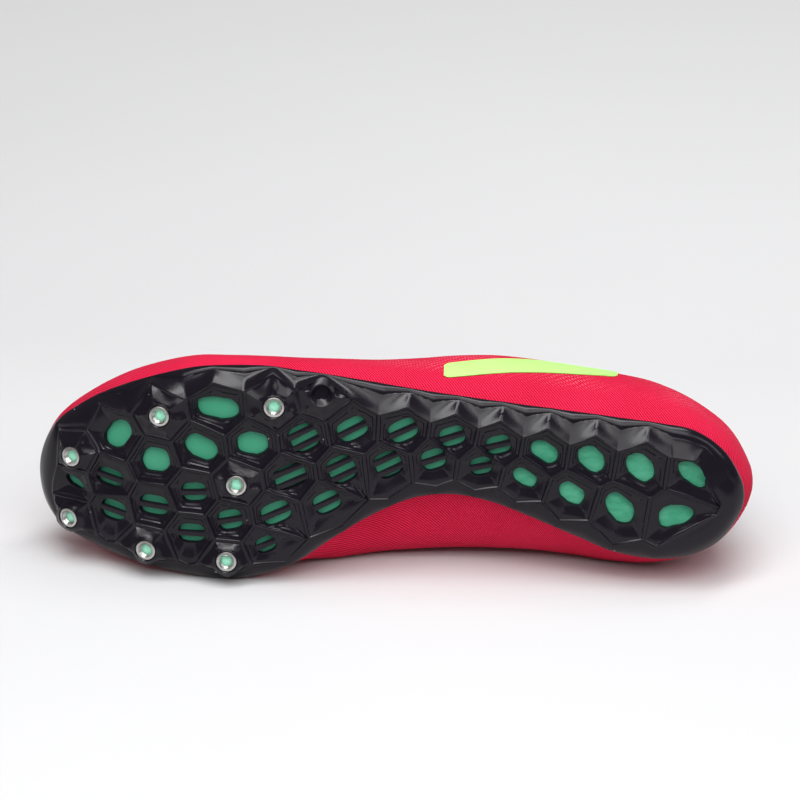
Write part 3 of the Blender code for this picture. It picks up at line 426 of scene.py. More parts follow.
def clip(polygon, middle, normal):
    # The part of a convex polygon on the near side of a line
    kept = []
    for k, end in enumerate(polygon):
        start = polygon[k - 1]
        a, b = (start - middle) @ normal, (end - middle) @ normal
        if (a < 0) != (b < 0):
            kept.append(start + (end - start) * a / (a - b))
        if b < 0:
            kept.append(end)
    return kept


def cellSites():
    return {row[0]: inPlan(row[2], row[3]) for row in cells}


def outerSites(sites):
    # Helper places outside the plate that give the border cells their pointed outer edges
    helpers = []
    for one, two in zip(border, border[1:]):
        middle = (sites[one] + sites[two]) / 2
        half = np.linalg.norm(sites[one] - sites[two]) / 2
        inset, place = nearestEdge(middle)
        inward = edgePlace(place)[1]
        outer = middle[1] > (edgeOutLine(middle[0]) + edgeInLine(middle[0])) / 2
        rim = (rimOut if outer else rimIn)(middle[0])
        low = max(inset[0] - rim, bossRadius * 1.15 if one == two else 0.001)
        helpers.append(middle - inward[0] * (low + math.hypot(low, half)))
    return helpers


def lateralShare(points):
    # 1 on the lateral side behind the toe and 0 elsewhere
    middle = (edgeOutLine(points[:, 0]) + edgeInLine(points[:, 0])) / 2
    toe = np.clip((toeStart * shoeLength - points[:, 0]) / toeFade, 0, 1)
    return np.clip((points[:, 1] - middle) / middleFade, 0, 1) * toe


def pullPeaks(corners, polygons):
    # A lateral window's outer peak lies further in than a boss's, and clear of its window
    kinds = {row[0]: row[1] for row in cells}
    inset, place = nearestEdge(corners)
    edge, inward = edgePlace(place)
    lateral = lateralShare(corners)
    loop = borderLoop(polygons)
    for before, k, after in zip(loop[-1:] + loop[:-1], loop, loop[1:] + loop[:1]):
        owners = [name for name, ring in polygons.items() if k in ring]
        atToe = corners[k][0] > toeStart * shoeLength
        goal = (toeShare if atToe else peakShare) * (inset[before] + inset[after]) / 2
        window = len(owners) == 1 and kinds[owners[0]] in ("open", "slats")
        if window and (atToe or lateral[k] > 0.5):
            corners[k] = edge[k] + inward[k] * max(goal, inset[k])
    return corners


def cellPolygons():
    # Corners shared by the cells, and each cell's corner numbers in order
    sites = cellSites()
    everyone = list(sites.values()) + outerSites(sites)
    corners = []
    polygons = {}
    for name, site in sites.items():
        square = [site + ballWidth * np.array(c) for c in ((-1, -1), (1, -1), (1, 1), (-1, 1))]
        for other in everyone:
            if other is not site:
                square = clip(square, (site + other) / 2, other - site)
        ring = []
        for point in square:
            gaps = [np.linalg.norm(point - corner) for corner in corners]
            if gaps and min(gaps) < cornerWeld:
                number = int(np.argmin(gaps))
            else:
                number = len(corners)
                corners.append(point)
            if number not in ring:
                ring.append(number)
        polygons[name] = ring
    corners = pullPeaks(np.array(corners), polygons)
    inset, place = nearestEdge(corners)
    edge, inward = edgePlace(place)
    atHeel = np.clip((heelStart - corners[:, 0] / shoeLength) / heelFade, 0, 1)
    least = leastRim + (heelRim - leastRim) * atHeel
    near = inset < least
    corners[near] = (edge + inward * least[:, None])[near]
    return corners, polygons


def borderLoop(polygons):
    # Corner numbers along the outer side of the border cells
    runs = {(ring[k - 1], ring[k]) for ring in polygons.values() for k in range(len(ring))}
    follow = {a: b for a, b in runs if (b, a) not in runs}
    start = min(follow)
    loop = [start]
    while follow[loop[-1]] != start:
        loop.append(follow[loop[-1]])
    return loop


def windowRing(row, site, toward):
    # The window's edge in the directions of the given points
    turn = math.radians(row[6])
    along = np.array([-math.cos(turn), math.sin(turn)])
    aside = np.array([math.sin(turn), math.cos(turn)])
    way = toward - site
    way /= np.linalg.norm(way, axis=1)[:, None]
    square = slatSquareness if row[7] else windowSquareness
    reach = ((np.abs(way @ along) / row[4]) ** square
             + (np.abs(way @ aside) / row[5]) ** square) ** (-1 / square)
    return site + way * reach[:, None] * windowReach


def seatFrame(site):
    # A spike seat's centre on the floor and its axes: two across and one inward
    here = soleSkin(site, 0)[0]
    inward = soleSkin(site, 1)[0] - here
    across = np.cross(inward, [0, 1.0, 0])
    across /= np.linalg.norm(across)
    return here, across, np.cross(inward, across), inward


def evenPlaces(places):
    # Places along the outline in one running order, with no two closer than a small step
    count = len(outline)
    steps = np.diff(places, append=places[:1])
    steps = (steps + count / 2) % count - count / 2
    leastStep = 0.25
    if steps.sum() < 0:
        steps = np.minimum(steps, -leastStep)
    else:
        steps = np.maximum(steps, leastStep)
    steps *= count / abs(steps.sum())
    run = places[0] + np.concatenate([[0], np.cumsum(steps)[:-1]])
    drift = (places - run + count / 2) % count - count / 2
    return (run + np.mean(drift)) % count


def acrossThroat(place, drops, lift):
    # A path over the throat at one section: up its lateral wall, a crown, and the medial wall
    near = 0.003
    lateral, medial = (wallOffset(side, (*drops, near), lift) for side in (place, around - place))
    leave, land = lateral[-2] - lateral[-1], medial[-2] - medial[-1]
    lateral, medial = lateral[:-1], medial[:-1]
    gap = np.linalg.norm(medial[-1] - lateral[-1])
    leave *= gap / np.linalg.norm(leave)
    land *= -gap / np.linalg.norm(land)
    crown = [bend(lateral[-1], leave, medial[-1], land, t) for t in (0.25, 0.5, 0.75)]
    return np.vstack([lateral, crown, medial[::-1]])


print("frame: the plan is laid over the packed solids")


def fitPlan():
    # The turn and shift from the plan to the frame, fitted on the spike seats' faces
    sites = cellSites()
    planPoints, framePoints = [], []
    middle = (receptacleRadius - receptacleBevel + receptacleBoreRadius) / 2
    for mount in frame["record"]["mounts"]:
        here, across, _, inward = seatFrame(sites["spike_" + mount["name"][-1]])
        seat = here - inward * bossHeight - across * middle
        spot, way = np.array(mount["pos_m"]), np.array(mount["axis"])
        planPoints += [seat, seat - inward * middle]
        framePoints += [spot, spot + way * middle]
    a, b = np.array(planPoints), np.array(framePoints)
    u, _, v = np.linalg.svd((a - a.mean(0)).T @ (b - b.mean(0)))
    flip = np.diag([1, 1, np.sign(np.linalg.det(u @ v))])
    turn = u @ flip @ v
    shift = b.mean(0) - a.mean(0) @ turn
    print("fit error in mm", np.abs(a @ turn + shift - b).max() * 1000)
    return turn, shift


planTurn, planShift = fitPlan()


def toFrame(points):
    return np.asarray(points, float) @ planTurn + planShift


def skin(points, lift):
    # The sole's floor in small batches, so that the distance tables stay small
    points = np.atleast_2d(points)
    lift = np.ones(len(points)) * lift
    return np.vstack([soleSkin(points[k:k + 1500], lift[k:k + 1500])
                      for k in range(0, len(points), 1500)])


class Shader:
    # One material, with its nodes made by a single method
    def __init__(self, name):
        self.material = bpy.data.materials.new(name)
        self.material.use_nodes = True
        self.tree = self.material.node_tree
        self.surface = self.tree.nodes["Principled BSDF"]

    def node(self, kind, settings=None, inputs=None):
        made = self.tree.nodes.new(kind)
        for key, value in (settings or {}).items():
            if key == "stops":
                ramp = made.color_ramp
                while len(ramp.elements) < len(value):
                    ramp.elements.new(0.5)
                for element, (place, colour) in zip(ramp.elements, value):
                    element.position = place
                    element.color = colour
            else:
                setattr(made, key, value)
        for key, value in (inputs or {}).items():
            self.feed(made.inputs[key], value)
        return made

    def feed(self, socket, value):
        if isinstance(value, Wire):
            self.tree.links.new(value.socket, socket)
        elif isinstance(value, (tuple, list)) and len(value) == 3 and socket.type == "RGBA":
            socket.default_value = (*value, 1)
        else:
            socket.default_value = value

    def wire(self, made, output=0):
        return Wire(self, made.outputs[output])

    def set(self, **values):
        for key, value in values.items():
            self.feed(self.surface.inputs[key.replace("_", " ")], value)

    def coordinates(self, output="Object", scale=(1, 1, 1), turn=(0, 0, 0)):
        source = self.node("ShaderNodeTexCoord")
        return self.wire(self.node("ShaderNodeMapping", None, {
            "Vector": self.wire(source, output), "Scale": scale, "Rotation": turn}))

    def parts(self, where):
        made = self.node("ShaderNodeSeparateXYZ", None, {"Vector": where})
        return [self.wire(made, k) for k in range(3)]

    def noise(self, where, scale, detail=2.0, roughness=0.5):
        return self.wire(self.node("ShaderNodeTexNoise", None, {
            "Vector": where, "Scale": scale, "Detail": detail, "Roughness": roughness}), "Fac")

    def mix(self, share, one, two):
        made = self.node("ShaderNodeMix", {"data_type": "RGBA"})
        self.feed(made.inputs[0], share)
        self.feed(made.inputs[6], one)
        self.feed(made.inputs[7], two)
        return self.wire(made, 2)

    def bump(self, height, distance, strength=1.0):
        made = self.node("ShaderNodeBump", None, {
            "Height": height, "Distance": distance, "Strength": strength})
        self.set(Normal=self.wire(made))


class Wire:
    # A socket that adds a Math node when it is used in an expression
    def __init__(self, shader, socket):
        self.shader = shader
        self.socket = socket

    def math(self, operation, *values):
        made = self.shader.node("ShaderNodeMath", {"operation": operation})
        for socket, value in zip(made.inputs, values):
            self.shader.feed(socket, value)
        return self.shader.wire(made)

    def __add__(self, other):
        return self.math("ADD", self, other)

    def __radd__(self, other):
        return self.math("ADD", other, self)

    def __sub__(self, other):
        return self.math("SUBTRACT", self, other)

    def __rsub__(self, other):
        return self.math("SUBTRACT", other, self)

    def __mul__(self, other):
        return self.math("MULTIPLY", self, other)

    def __rmul__(self, other):
        return self.math("MULTIPLY", other, self)

    def __truediv__(self, other):
        return self.math("DIVIDE", self, other)

    def wave(self):
        # The sine of a count of full turns
        return self.math("SINE", self * (2 * math.pi))

    def size(self):
        # Of a number, or of the mean of a vector's parts
        return self.math("ABSOLUTE", self)

    def power(self, other):
        return self.math("POWER", self, other)

    def above(self, other):
        return self.math("GREATER_THAN", self, other)

    def clamp(self):
        return self.math("MINIMUM", self.math("MAXIMUM", self, 0.0), 1.0)


def plateGloss():
    look = Shader("plateGloss")
    where = look.coordinates()
    cloud = look.noise(where, 38, 3)
    fine = look.noise(where, 900, 3, 0.6)
    smear = look.noise(look.coordinates(scale=(0.4, 1, 1.6)), 120, 4, 0.65)
    dots = look.node("ShaderNodeTexVoronoi", {"feature": "F1"},
                     {"Vector": where, "Scale": 160.0, "Randomness": 1.0})
    rare = look.noise(where, 55, 0).above(0.66)
    dust = (1 - look.wire(dots, "Distance").above(0.07)) * rare
    black = look.mix(cloud, (0.0050, 0.0036, 0.0068), (0.0085, 0.0064, 0.0115))
    look.set(Base_Color=look.mix(dust * 0.5, black, (0.45, 0.43, 0.44)),
             Roughness=0.13 + smear * 0.12 + dust * 0.3, Specular_IOR_Level=0.26)
    look.bump(fine + cloud * 2.0 + dust, 0.00004, 0.6)
    return look.material


def boardSatin():
    look = Shader("boardSatin")
    where = look.coordinates()
    streak = look.noise(look.coordinates(scale=(0.6, 1, 1.5), turn=(0, 0.9, 0)), 170, 5, 0.68)
    cloud = look.noise(where, 45, 3)
    heel = (look.parts(where)[0] * 16).clamp()     # the heel's sheet has stronger streaks, a painted reflection
    # Painted reflection: the streaks stand in for light reflected in the translucent sheet; the clouds
    # are the sheet's own random tone
    light = (streak - 0.45) * 2.2 * heel + (cloud - 0.5) * 0.5
    colour = look.mix((light + 0.3).clamp(), (0.030, 0.265, 0.150), (0.105, 0.46, 0.285))
    look.set(Base_Color=colour, Roughness=0.42 + streak * 0.14, Specular_IOR_Level=0.25)
    look.bump(streak + cloud, 0.00006, 0.5)
    return look.material


def clothLook(name, settings):
    # A woven cloth on a map in metres: fine slanting ribs, crossed by the threads' own steps
    look = Shader(name)
    s, t = look.parts(look.wire(look.node("ShaderNodeUVMap", {"uv_map": "cloth"})))[:2]
    where = look.coordinates()
    turn = math.radians(settings["slant"])
    along = s * math.cos(turn) + t * math.sin(turn)
    aside = t * math.cos(turn) - s * math.sin(turn)
    waver = look.noise(where, 160, 2) - 0.5
    ribs = aside / settings["rib"]
    rib = (ribs + waver * 0.35).wave() * 0.5 + 0.5
    thread = (along / settings["thread"] + ribs * 0.5 + waver * 0.5).wave() * 0.5 + 0.5
    weave = rib * 0.6 + rib * thread * 0.4
    cloud = look.noise(where, 26, 3)
    fuzz = look.noise(where, 1400, 2)
    # Painted shade: the weave's grooves take the deep colour and its ribs the light one; the clouds and
    # fuzz are the cloth's own random tone
    share = (weave * settings["contrast"] + (cloud - 0.5) * 0.4 + (fuzz - 0.5) * 0.3
             + settings["lift"]).clamp()
    colour = look.mix(share, settings["deep"], settings["light"])
    if "fleck" in settings:
        # Pale threads that come up here and there
        lane = (aside / settings["fleckLane"] + waver).wave().above(0.35)
        dash = (along / settings["fleckLane"] * 0.6 + waver * 1.5).wave().above(0.2)
        some = ((look.noise(where, 30, 2) - 0.40) * 4).clamp()
        reach = ((t - 0.020) * 120).clamp() * ((0.19 - s) * 40).clamp()
        colour = look.mix(lane * dash * some * reach * 0.5, colour, settings["fleck"])
    look.set(Base_Color=colour, Roughness=0.72 + fuzz * 0.2, Specular_IOR_Level=0.06,
             Sheen_Weight=settings["sheen"], Sheen_Roughness=0.45, Sheen_Tint=(1.0, 0.55, 0.6))
    look.bump(weave + fuzz * 0.3, settings["depth"], 0.8)
    return look.material


# In each cloth, deep is the painted shade colour of the weave's grooves and light the colour of its ribs
upperCloth = {"slant": 52, "rib": 0.00098, "thread": 0.0013, "contrast": 1.0, "lift": -0.02,
              "deep": (0.37, 0.001, 0.013), "light": (0.92, 0.032, 0.112), "sheen": 0.03,
              "depth": 0.00024}
tongueCloth = dict(upperCloth, rib=0.0013, thread=0.0013, slant=45,
                   deep=(0.34, 0.002, 0.014), light=(0.66, 0.012, 0.046))
liningCloth = dict(upperCloth, rib=0.0008, thread=0.0010, slant=0,
                   deep=(0.16, 0.004, 0.014), light=(0.33, 0.010, 0.034))
insoleCloth = dict(upperCloth, rib=0.0010, thread=0.0010, slant=45,
                   deep=(0.012, 0.012, 0.014), light=(0.045, 0.045, 0.052))
laceCloth = dict(upperCloth, rib=0.0009, thread=0.0009, slant=45, depth=0.0003,
                 deep=(0.40, 0.003, 0.020), light=(0.82, 0.020, 0.065))
threadCloth = dict(upperCloth, rib=0.0005, thread=0.0009, slant=20,
                   deep=(0.50, 0.004, 0.024), light=(0.92, 0.040, 0.100))


def spikeSteel():
    look = Shader("spikeSteel")
    where = look.coordinates()
    cloud = look.noise(where, 300, 3)
    fine = look.noise(look.coordinates(scale=(1, 0.15, 1)), 2200, 2)
    look.set(Base_Color=look.mix(cloud, (0.42, 0.41, 0.39), (0.60, 0.59, 0.57)),
             Roughness=0.22 + fine * 0.16 + cloud * 0.08, Metallic=1.0)
    look.bump(fine, 0.00002, 0.4)
    return look.material


def seatPlug():
    look = Shader("seatPlug")
    cloud = look.noise(look.coordinates(), 500, 3)
    # The plug's own pale mint is made lighter as painted light, standing in for its highlight and for
    # the light that the bore's shade takes away
    look.set(Base_Color=look.mix(cloud, (0.27, 0.76, 0.52), (0.42, 0.90, 0.68)),
             Roughness=0.3 + cloud * 0.1, Coat_Weight=0.4)
    look.bump(cloud, 0.00005, 0.4)
    return look.material


def limeFilm():
    look = Shader("limeFilm")
    where = look.coordinates()
    fine = look.noise(where, 1100, 3)
    cloud = look.noise(where, 60, 2)
    look.set(Base_Color=look.mix(cloud, (0.42, 0.90, 0.19), (0.49, 0.97, 0.24)),
             Roughness=0.42 + fine * 0.15)
    look.bump(fine, 0.00005, 0.5)
    return look.material


def newThing(name, data):
    thing = bpy.data.objects.new(name, data)
    bpy.context.scene.collection.objects.link(thing)
    return thing


def copyThing(source):
    thing = source.copy()
    thing.data = source.data.copy()
    bpy.context.scene.collection.objects.link(thing)
    return thing


def quadsBetween(one, two):
    # Faces between two closed rings of corner numbers
    return [(one[k], one[(k + 1) % len(one)], two[(k + 1) % len(one)], two[k])
            for k in range(len(one))]


def placeAt(spot, axes):
    return Matrix.Translation(Vector(spot)) @ Matrix(axes).transposed().to_4x4()


def pickOnly(thing):
    bpy.ops.object.select_all(action="DESELECT")
    thing.select_set(True)
    bpy.context.view_layer.objects.active = thing


def finishPiece(thing, name, material, nodes=(), smooth=None):
    # Names a piece, sets its place into its mesh and hands it to the frame
    pickOnly(thing)
    thing.name = name
    thing.data.name = name
    bpy.ops.object.transform_apply(location=True, rotation=True, scale=True)
    thing.data.materials.clear()
    for one in (material if isinstance(material, list) else [material]):
        thing.data.materials.append(one)
    if smooth is not None:
        bpy.ops.object.shade_smooth_by_angle(angle=math.radians(smooth))
    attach(thing, "root")
    if nodes:
        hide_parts(*nodes)
    return thing


def meshFrom(name, points, faces, maps=None):
    # A mesh from points of the plan; maps holds a place on the cloth, in metres, for each corner
    mesh = bpy.data.meshes.new(name)
    mesh.from_pydata([tuple(p) for p in toFrame(points)], [], faces)
    if maps is not None:
        layer = mesh.uv_layers.new(name="cloth")
        layer.data.foreach_set("uv", np.array(maps, float).ravel())
    return newThing(name, mesh)


def applyModifier(thing, kind, **settings):
    pickOnly(thing)
    made = thing.modifiers.new(kind.lower(), kind)
    for key, value in settings.items():
        setattr(made, key, value)
    bpy.ops.object.modifier_apply(modifier=made.name)


def mergeAndTurnOut(thing, reach=0.00001):
    pickOnly(thing)
    bpy.ops.object.mode_set(mode="EDIT")
    bpy.ops.mesh.select_all(action="SELECT")
    bpy.ops.mesh.remove_doubles(threshold=reach)
    bpy.ops.mesh.normals_make_consistent(inside=False)
    bpy.ops.mesh.select_all(action="DESELECT")
    bpy.ops.object.mode_set(mode="OBJECT")


def joinPieces(things):
    bpy.ops.object.select_all(action="DESELECT")
    for thing in things:
        thing.select_set(True)
    bpy.context.view_layer.objects.active = things[0]
    bpy.ops.object.join()
    return things[0]


def copyNode(node, name):
    thing = copyThing(frame["nodes"][node])
    thing.parent = None
    for key in list(thing.keys()):
        del thing[key]
    thing.hide_render = thing.hide_viewport = False
    thing.name = name
    mergeAndTurnOut(thing, 0.00002)
    return thing


def sideMap(thing):
    # A map in metres seen from the shoe's top, for pieces that face up from the sole
    layer = thing.data.uv_layers.get("cloth") or thing.data.uv_layers.new(name="cloth")
    for loop in thing.data.loops:
        spot = thing.data.vertices[loop.vertex_index].co
        layer.data[loop.index].uv = (spot.x, spot.z)


print("plate: cells, ridges, terraces and the side's scallops")
plateLook = {"stepAlong": 0.0009, "crestFall": 0.00105, "bandBulge": 0.22, "squaring": 0.35,
             "rimRise": 0.0014, "creaseHeight": 0.0006, "scoopDepth": 0.0003, "scoopBend": 1.2,
             "windowLip": 0.00045, "terraceReach": 0.0056, "endCrest": 0.0004,
             "lowHeel": 0.05, "heelClimb": 0.05, "lowToe": 0.97, "toeClimb": 0.04,
             "bossCrease": 0.0009, "creaseMiddle": 0.35,
             "pitShift": 0.0008, "peakStep": 0.0015, "plainFoot": 0.18, "plainFall": 1.3,
             "plainBulge": 0.0006, "plainTurn": 0.6, "undercut": 0.0003,
             "zigzagLip": 0.00030, "zigzagPeak": 0.77, "zigzagValley": 0.60}
bossTop = receptacleRadius + 0.0010
# Share of the way from the crest to its foot, and height as a share of the crest's
crestShape = [(0.30, 0.99), (0.50, 0.945), (0.68, 0.85), (0.84, 0.71), (1.00, 0.56)]
bossFoot = [(0.40, 0.985), (0.75, 0.93), (1.00, 0.88)]
# Share of the way from the crest's foot to the window, and height as a share of the crest's
terraces = [(0.12, 0.50), (0.34, 0.45), (0.46, 0.26), (0.68, 0.21), (0.82, 0.04), (1.00, 0.00)]
# Share of the way back from the window to its lip, and depth in metres
windowLips = [(0.75, 0.0002), (0.4, 0.0006), (0.0, plateWall)]
# Shares of the way up a boss, down to the zigzag line, and on to the plate's edge
bossSteps = (0.2, 0.4, 0.6, 0.8, 0.93)
flankSteps = (0.0, 0.04, 0.08, 0.14, 0.22, 0.32, 0.44, 0.56, 0.70, 0.84, 0.94, 1.0)
bandSteps = (0.03, 0.10, 0.25, 0.45, 0.65, 0.82, 0.93, 1.0)


class Plan:
    # Points given in plan with a lift, and faces between them, gathered for one piece
    def __init__(self):
        self.plan, self.lift, self.faces = [], [], []

    def add(self, points, lift):
        first = len(self.plan)
        self.plan.extend(np.atleast_2d(points))
        self.lift.extend(np.ones(len(np.atleast_2d(points))) * lift)
        return list(range(first, len(self.plan)))

    def band(self, one, two):
        self.faces += quadsBetween(one, two)

    def fan(self, ring, centre):
        for k in range(len(ring)):
            self.faces.append((ring[k], ring[(k + 1) % len(ring)], centre))


def stepCount(corners, a, b):
    return max(3, round(np.linalg.norm(corners[b] - corners[a]) / plateLook["stepAlong"]))


def finePolygon(corners, ring):
    # A cell's outline in even small steps, and how near each point is to a corner, 0 to 1
    points, near, numbers = [], [], []
    for a, b in zip(ring, ring[1:] + ring[:1]):
        low, high = min(a, b), max(a, b)
        count = stepCount(corners, a, b)
        share = np.arange(count + 1)[:, None] / count
        run = corners[low] + (corners[high] - corners[low]) * share
        keys = [(low, high, k) for k in range(count + 1)]
        if a != low:
            run, keys = run[::-1], keys[::-1]
        share = np.arange(count) / count
        points += list(run[:-1])
        near += list(np.abs(1 - 2 * share))
        numbers += [(key[0],) if key[2] == 0 else (key[1],) if key[2] == count else key
                    for key in keys[:-1]]
    return np.array(points), np.array(near), numbers


def alongLoop(corners, loop, values):
    # A value at each corner of the loop, spread evenly over the steps to the next corner
    spread = []
    for a, b, one, two in zip(loop, loop[1:] + loop[:1], values, np.roll(values, -1)):
        count = stepCount(corners, a, b)
        spread += list(one + (two - one) * np.arange(count) / count)
    return np.array(spread)


def buildPlate():
    corners, polygons = cellPolygons()
    sites = cellSites()
    loop = borderLoop(polygons)
    onBorder = set(loop)
    rim = rimHeight + plateLook["rimRise"] * lateralShare(corners)
    at = corners[:, 0] / shoeLength
    ends = np.clip((at - plateLook["lowHeel"]) / plateLook["heelClimb"], 0, 1)
    ends *= np.clip((plateLook["lowToe"] - at) / plateLook["toeClimb"], 0, 1)
    rim = plateLook["endCrest"] + (rim - plateLook["endCrest"]) * ends
    high = np.where([k in onBorder for k in range(len(corners))], rim, ridgeHeight)
    plate = Plan()
    shared = {}

    def crest(ring):
        # The crest's points, made once for both cells beside it, with their heights
        points, near, keys = finePolygon(corners, ring)
        numbers, heights = [], []
        for point, key in zip(points, keys):
            if key not in shared:
                ends = key[:2] if len(key) == 3 else (key[0], key[0])
                lift = (high[ends[0]] + high[ends[1]]) / 2
                if len(key) == 3 and not (ends[0] in onBorder and ends[1] in onBorder):
                    lift = ridgeHeight if high[ends[0]] == high[ends[1]] else lift
                shared[key] = (plate.add(point, -lift)[0], lift)
            numbers.append(shared[key][0])
            heights.append(shared[key][1])
        return points, near, numbers, np.array(heights)

    def descend(ring, steps):
        # Bands from a ring down through rings of points and lifts; gives back the last one
        for points, lift in steps:
            step = plate.add(points, lift)
            plate.band(ring, step)
            ring = step
        return ring

    seats = []
    for row in cells:
        name, kind = row[:2]
        site = sites[name]
        points, near, ring, heights = crest(polygons[name])
        inner = plate.add(points, plateWall)
        if kind in ("open", "slats"):
            goal = windowRing(row, site, points)
            if kind == "open":
                # The moulded windows follow their cell's corners a little
                far = np.linalg.norm(points - site, axis=1)
                pull = 1 + plateLook["squaring"] * np.clip(far / far.mean() - 1, -0.3, 0.3)
                goal = site + (goal - site) * pull[:, None]
        else:
            way = points - site
            goal = site + way / np.linalg.norm(way, axis=1)[:, None] * bossTop
        run = goal - points
        length = np.linalg.norm(run, axis=1)[:, None]
        lip = goal - run / length * plateLook["windowLip"]
        foot = points + run * np.minimum(plateLook["crestFall"] / length, 0.3)
        shape = crestShape if kind in ("open", "slats") else bossFoot
        ring = descend(ring, [(points + (foot - points) * share, -heights * lift)
                              for share, lift in shape])
        if kind in ("open", "slats"):
            # The terraces keep near the ridges, and a wide cell has a flat floor
            span = np.linalg.norm(lip - foot, axis=1)[:, None]
            near = np.minimum(1.0, plateLook["terraceReach"] / span)
            ring = descend(ring, [(foot + (lip - foot) * (share * near if share < 1 else 1),
                                   -heights * lift) for share, lift in terraces])
            ring = descend(ring, [(goal + (lip - goal) * share, lift)
                                  for share, lift in windowLips])
            plate.band(ring, inner)
            continue
        # A boss rises from its ridges in facets, creased from each corner
        base = heights * bossFoot[-1][1]
        rise = []
        for share in bossSteps:
            crease = plateLook["bossCrease"] * (near ** 2 - plateLook["creaseMiddle"])
            crease = crease * math.sin(math.pi * share)
            lift = base + (bossHeight - base) * share + crease
            rise.append((foot + (goal - foot) * share, -lift))
        ring = descend(ring, rise)
        way = np.column_stack([points - site, np.zeros(len(points))])
        seats.append((kind, seatFrame(site), way, ring, inner))
    body = list(skin(np.array(plate.plan), np.array(plate.lift)))
    # The bosses' tops are drawn round the seats' own axes: radius, height over the floor, and
    # share of the pit's shift
    bore = receptacleRadius + clearance * 0.4
    boreFloor = bossHeight - receptacleDepth - clearance
    boreSteps = [(bossTop - 0.0002, bossHeight - 0.0001, 0), (bossTop - 0.0005, bossHeight + 0.00012, 0),
                 (bore + 0.0003, bossHeight + 0.00005, 0), (bore, bossHeight - 0.0003, 0),
                 (bore, boreFloor, 0)]
    dishFloor = bossHeight - dimpleDepth
    dishSteps = [(bossTop - 0.0002, bossHeight, 0), (bossTop - 0.0006, bossHeight + 0.0002, 0),
                 (bossTop - 0.0011, bossHeight, 0), (dimpleRadius + 0.0004, bossHeight - 0.0006, 0.5),
                 (dimpleRadius - 0.0003, bossHeight - 0.0011, 0.9),
                 (dimpleRadius - 0.0007, bossHeight - 0.0015, 1), (dimpleRadius - 0.0009, dishFloor, 1)]
    for kind, (here, across, aside, inward), way, ring, inner in seats:
        angles = np.arctan2(way @ aside, way @ across)
        spike = kind == "spike"
        # The plain boss is a shallow dish with a small pit towards the plate's edge
        pit = 0.0 if spike else plateLook["pitShift"] * np.sign(aside[1])
        for radius, out, share in boreSteps if spike else dishSteps:
            circle = (np.outer(np.cos(angles) * radius * (1 + 0.25 * share), across)
                      + np.outer(np.sin(angles) * radius + pit * share, aside))
            step = list(range(len(body), len(body) + len(circle)))
            body.extend(here + circle - inward * out)
            plate.band(ring, step)
            ring = step
        plate.fan(ring, len(body))
        body.append(here - inward * (boreFloor if spike else dishFloor) + aside * pit)
        plate.fan(inner, len(body))
        body.append(here + inward * plateWall)
    # The side, from the outer ridges to the plate's edge
    points, _, ring, heights = crest(loop)
    edge = edgePlace(evenPlaces(nearestEdge(points)[1]))[0]
    outer = lateralShare(points)
    cornerInset = nearestEdge(corners[loop])[0]
    beside = np.minimum(np.roll(cornerInset, 1), np.roll(cornerInset, -1))
    isPeak = cornerInset < beside - plateLook["peakStep"]
    peak = alongLoop(corners, loop, isPeak.astype(float))
    zigzag = (plateLook["zigzagValley"]
              + (plateLook["zigzagPeak"] - plateLook["zigzagValley"]) * peak)
    rows = []
    for share in flankSteps:
        # From the outer ridge to the zigzag line the flank is a hollow scoop
        lift = outer * heights * (1 - share) ** plateLook["scoopBend"]
        bow = math.sin(math.pi * share)
        lift = lift + outer * bow * (peak ** 3 * plateLook["creaseHeight"] - plateLook["scoopDepth"])
        lift = lift + outer * plateLook["zigzagLip"] * share ** 4
        plain = (heights * max(0.0, 1 - share / plateLook["plainFoot"]) ** plateLook["plainFall"]
                 + plateLook["plainBulge"] * math.sin(math.pi * share * plateLook["plainTurn"]))
        lift = lift + (1 - outer) * plain
        rows.append((points + (edge - points) * zigzag[:, None] * share, -lift))
    for share in bandSteps:
        # The band between the zigzag line and the plate's edge is smooth
        width = np.linalg.norm(edge - points, axis=1) * (1 - zigzag)
        lift = outer * (plateLook["zigzagLip"] * max(0.0, 1 - share / 0.10)
                        + width * plateLook["bandBulge"] * math.sin(math.pi * share))
        turn = plateLook["plainTurn"] + (1 - plateLook["plainTurn"]) * share
        lift = lift + (1 - outer) * plateLook["plainBulge"] * math.sin(math.pi * turn)
        if share == 1.0:
            lift = lift - plateLook["undercut"]
        rows.append((points + (edge - points) * (zigzag + (1 - zigzag) * share)[:, None], -lift))
    first = len(body)
    plan = np.vstack([row[0] for row in rows[1:]])
    lifts = np.concatenate([row[1] for row in rows[1:]])
    body.extend(skin(plan, lifts))
    count = len(points)
    for k in range(len(rows) - 1):
        step = list(range(first + k * count, first + (k + 1) * count))
        plate.band(ring, step)
        ring = step
    first = len(body)
    body.extend(skin(edge, plateWall))
    step = list(range(first, first + count))
    plate.band(ring, step)
    first = len(body)
    body.extend(skin(points, plateWall))
    plate.band(step, list(range(first, first + count)))
    return np.array(body), plate.faces


slatLook = {"sink": 0.00025, "bevel": 0.00022, "segments": 2}


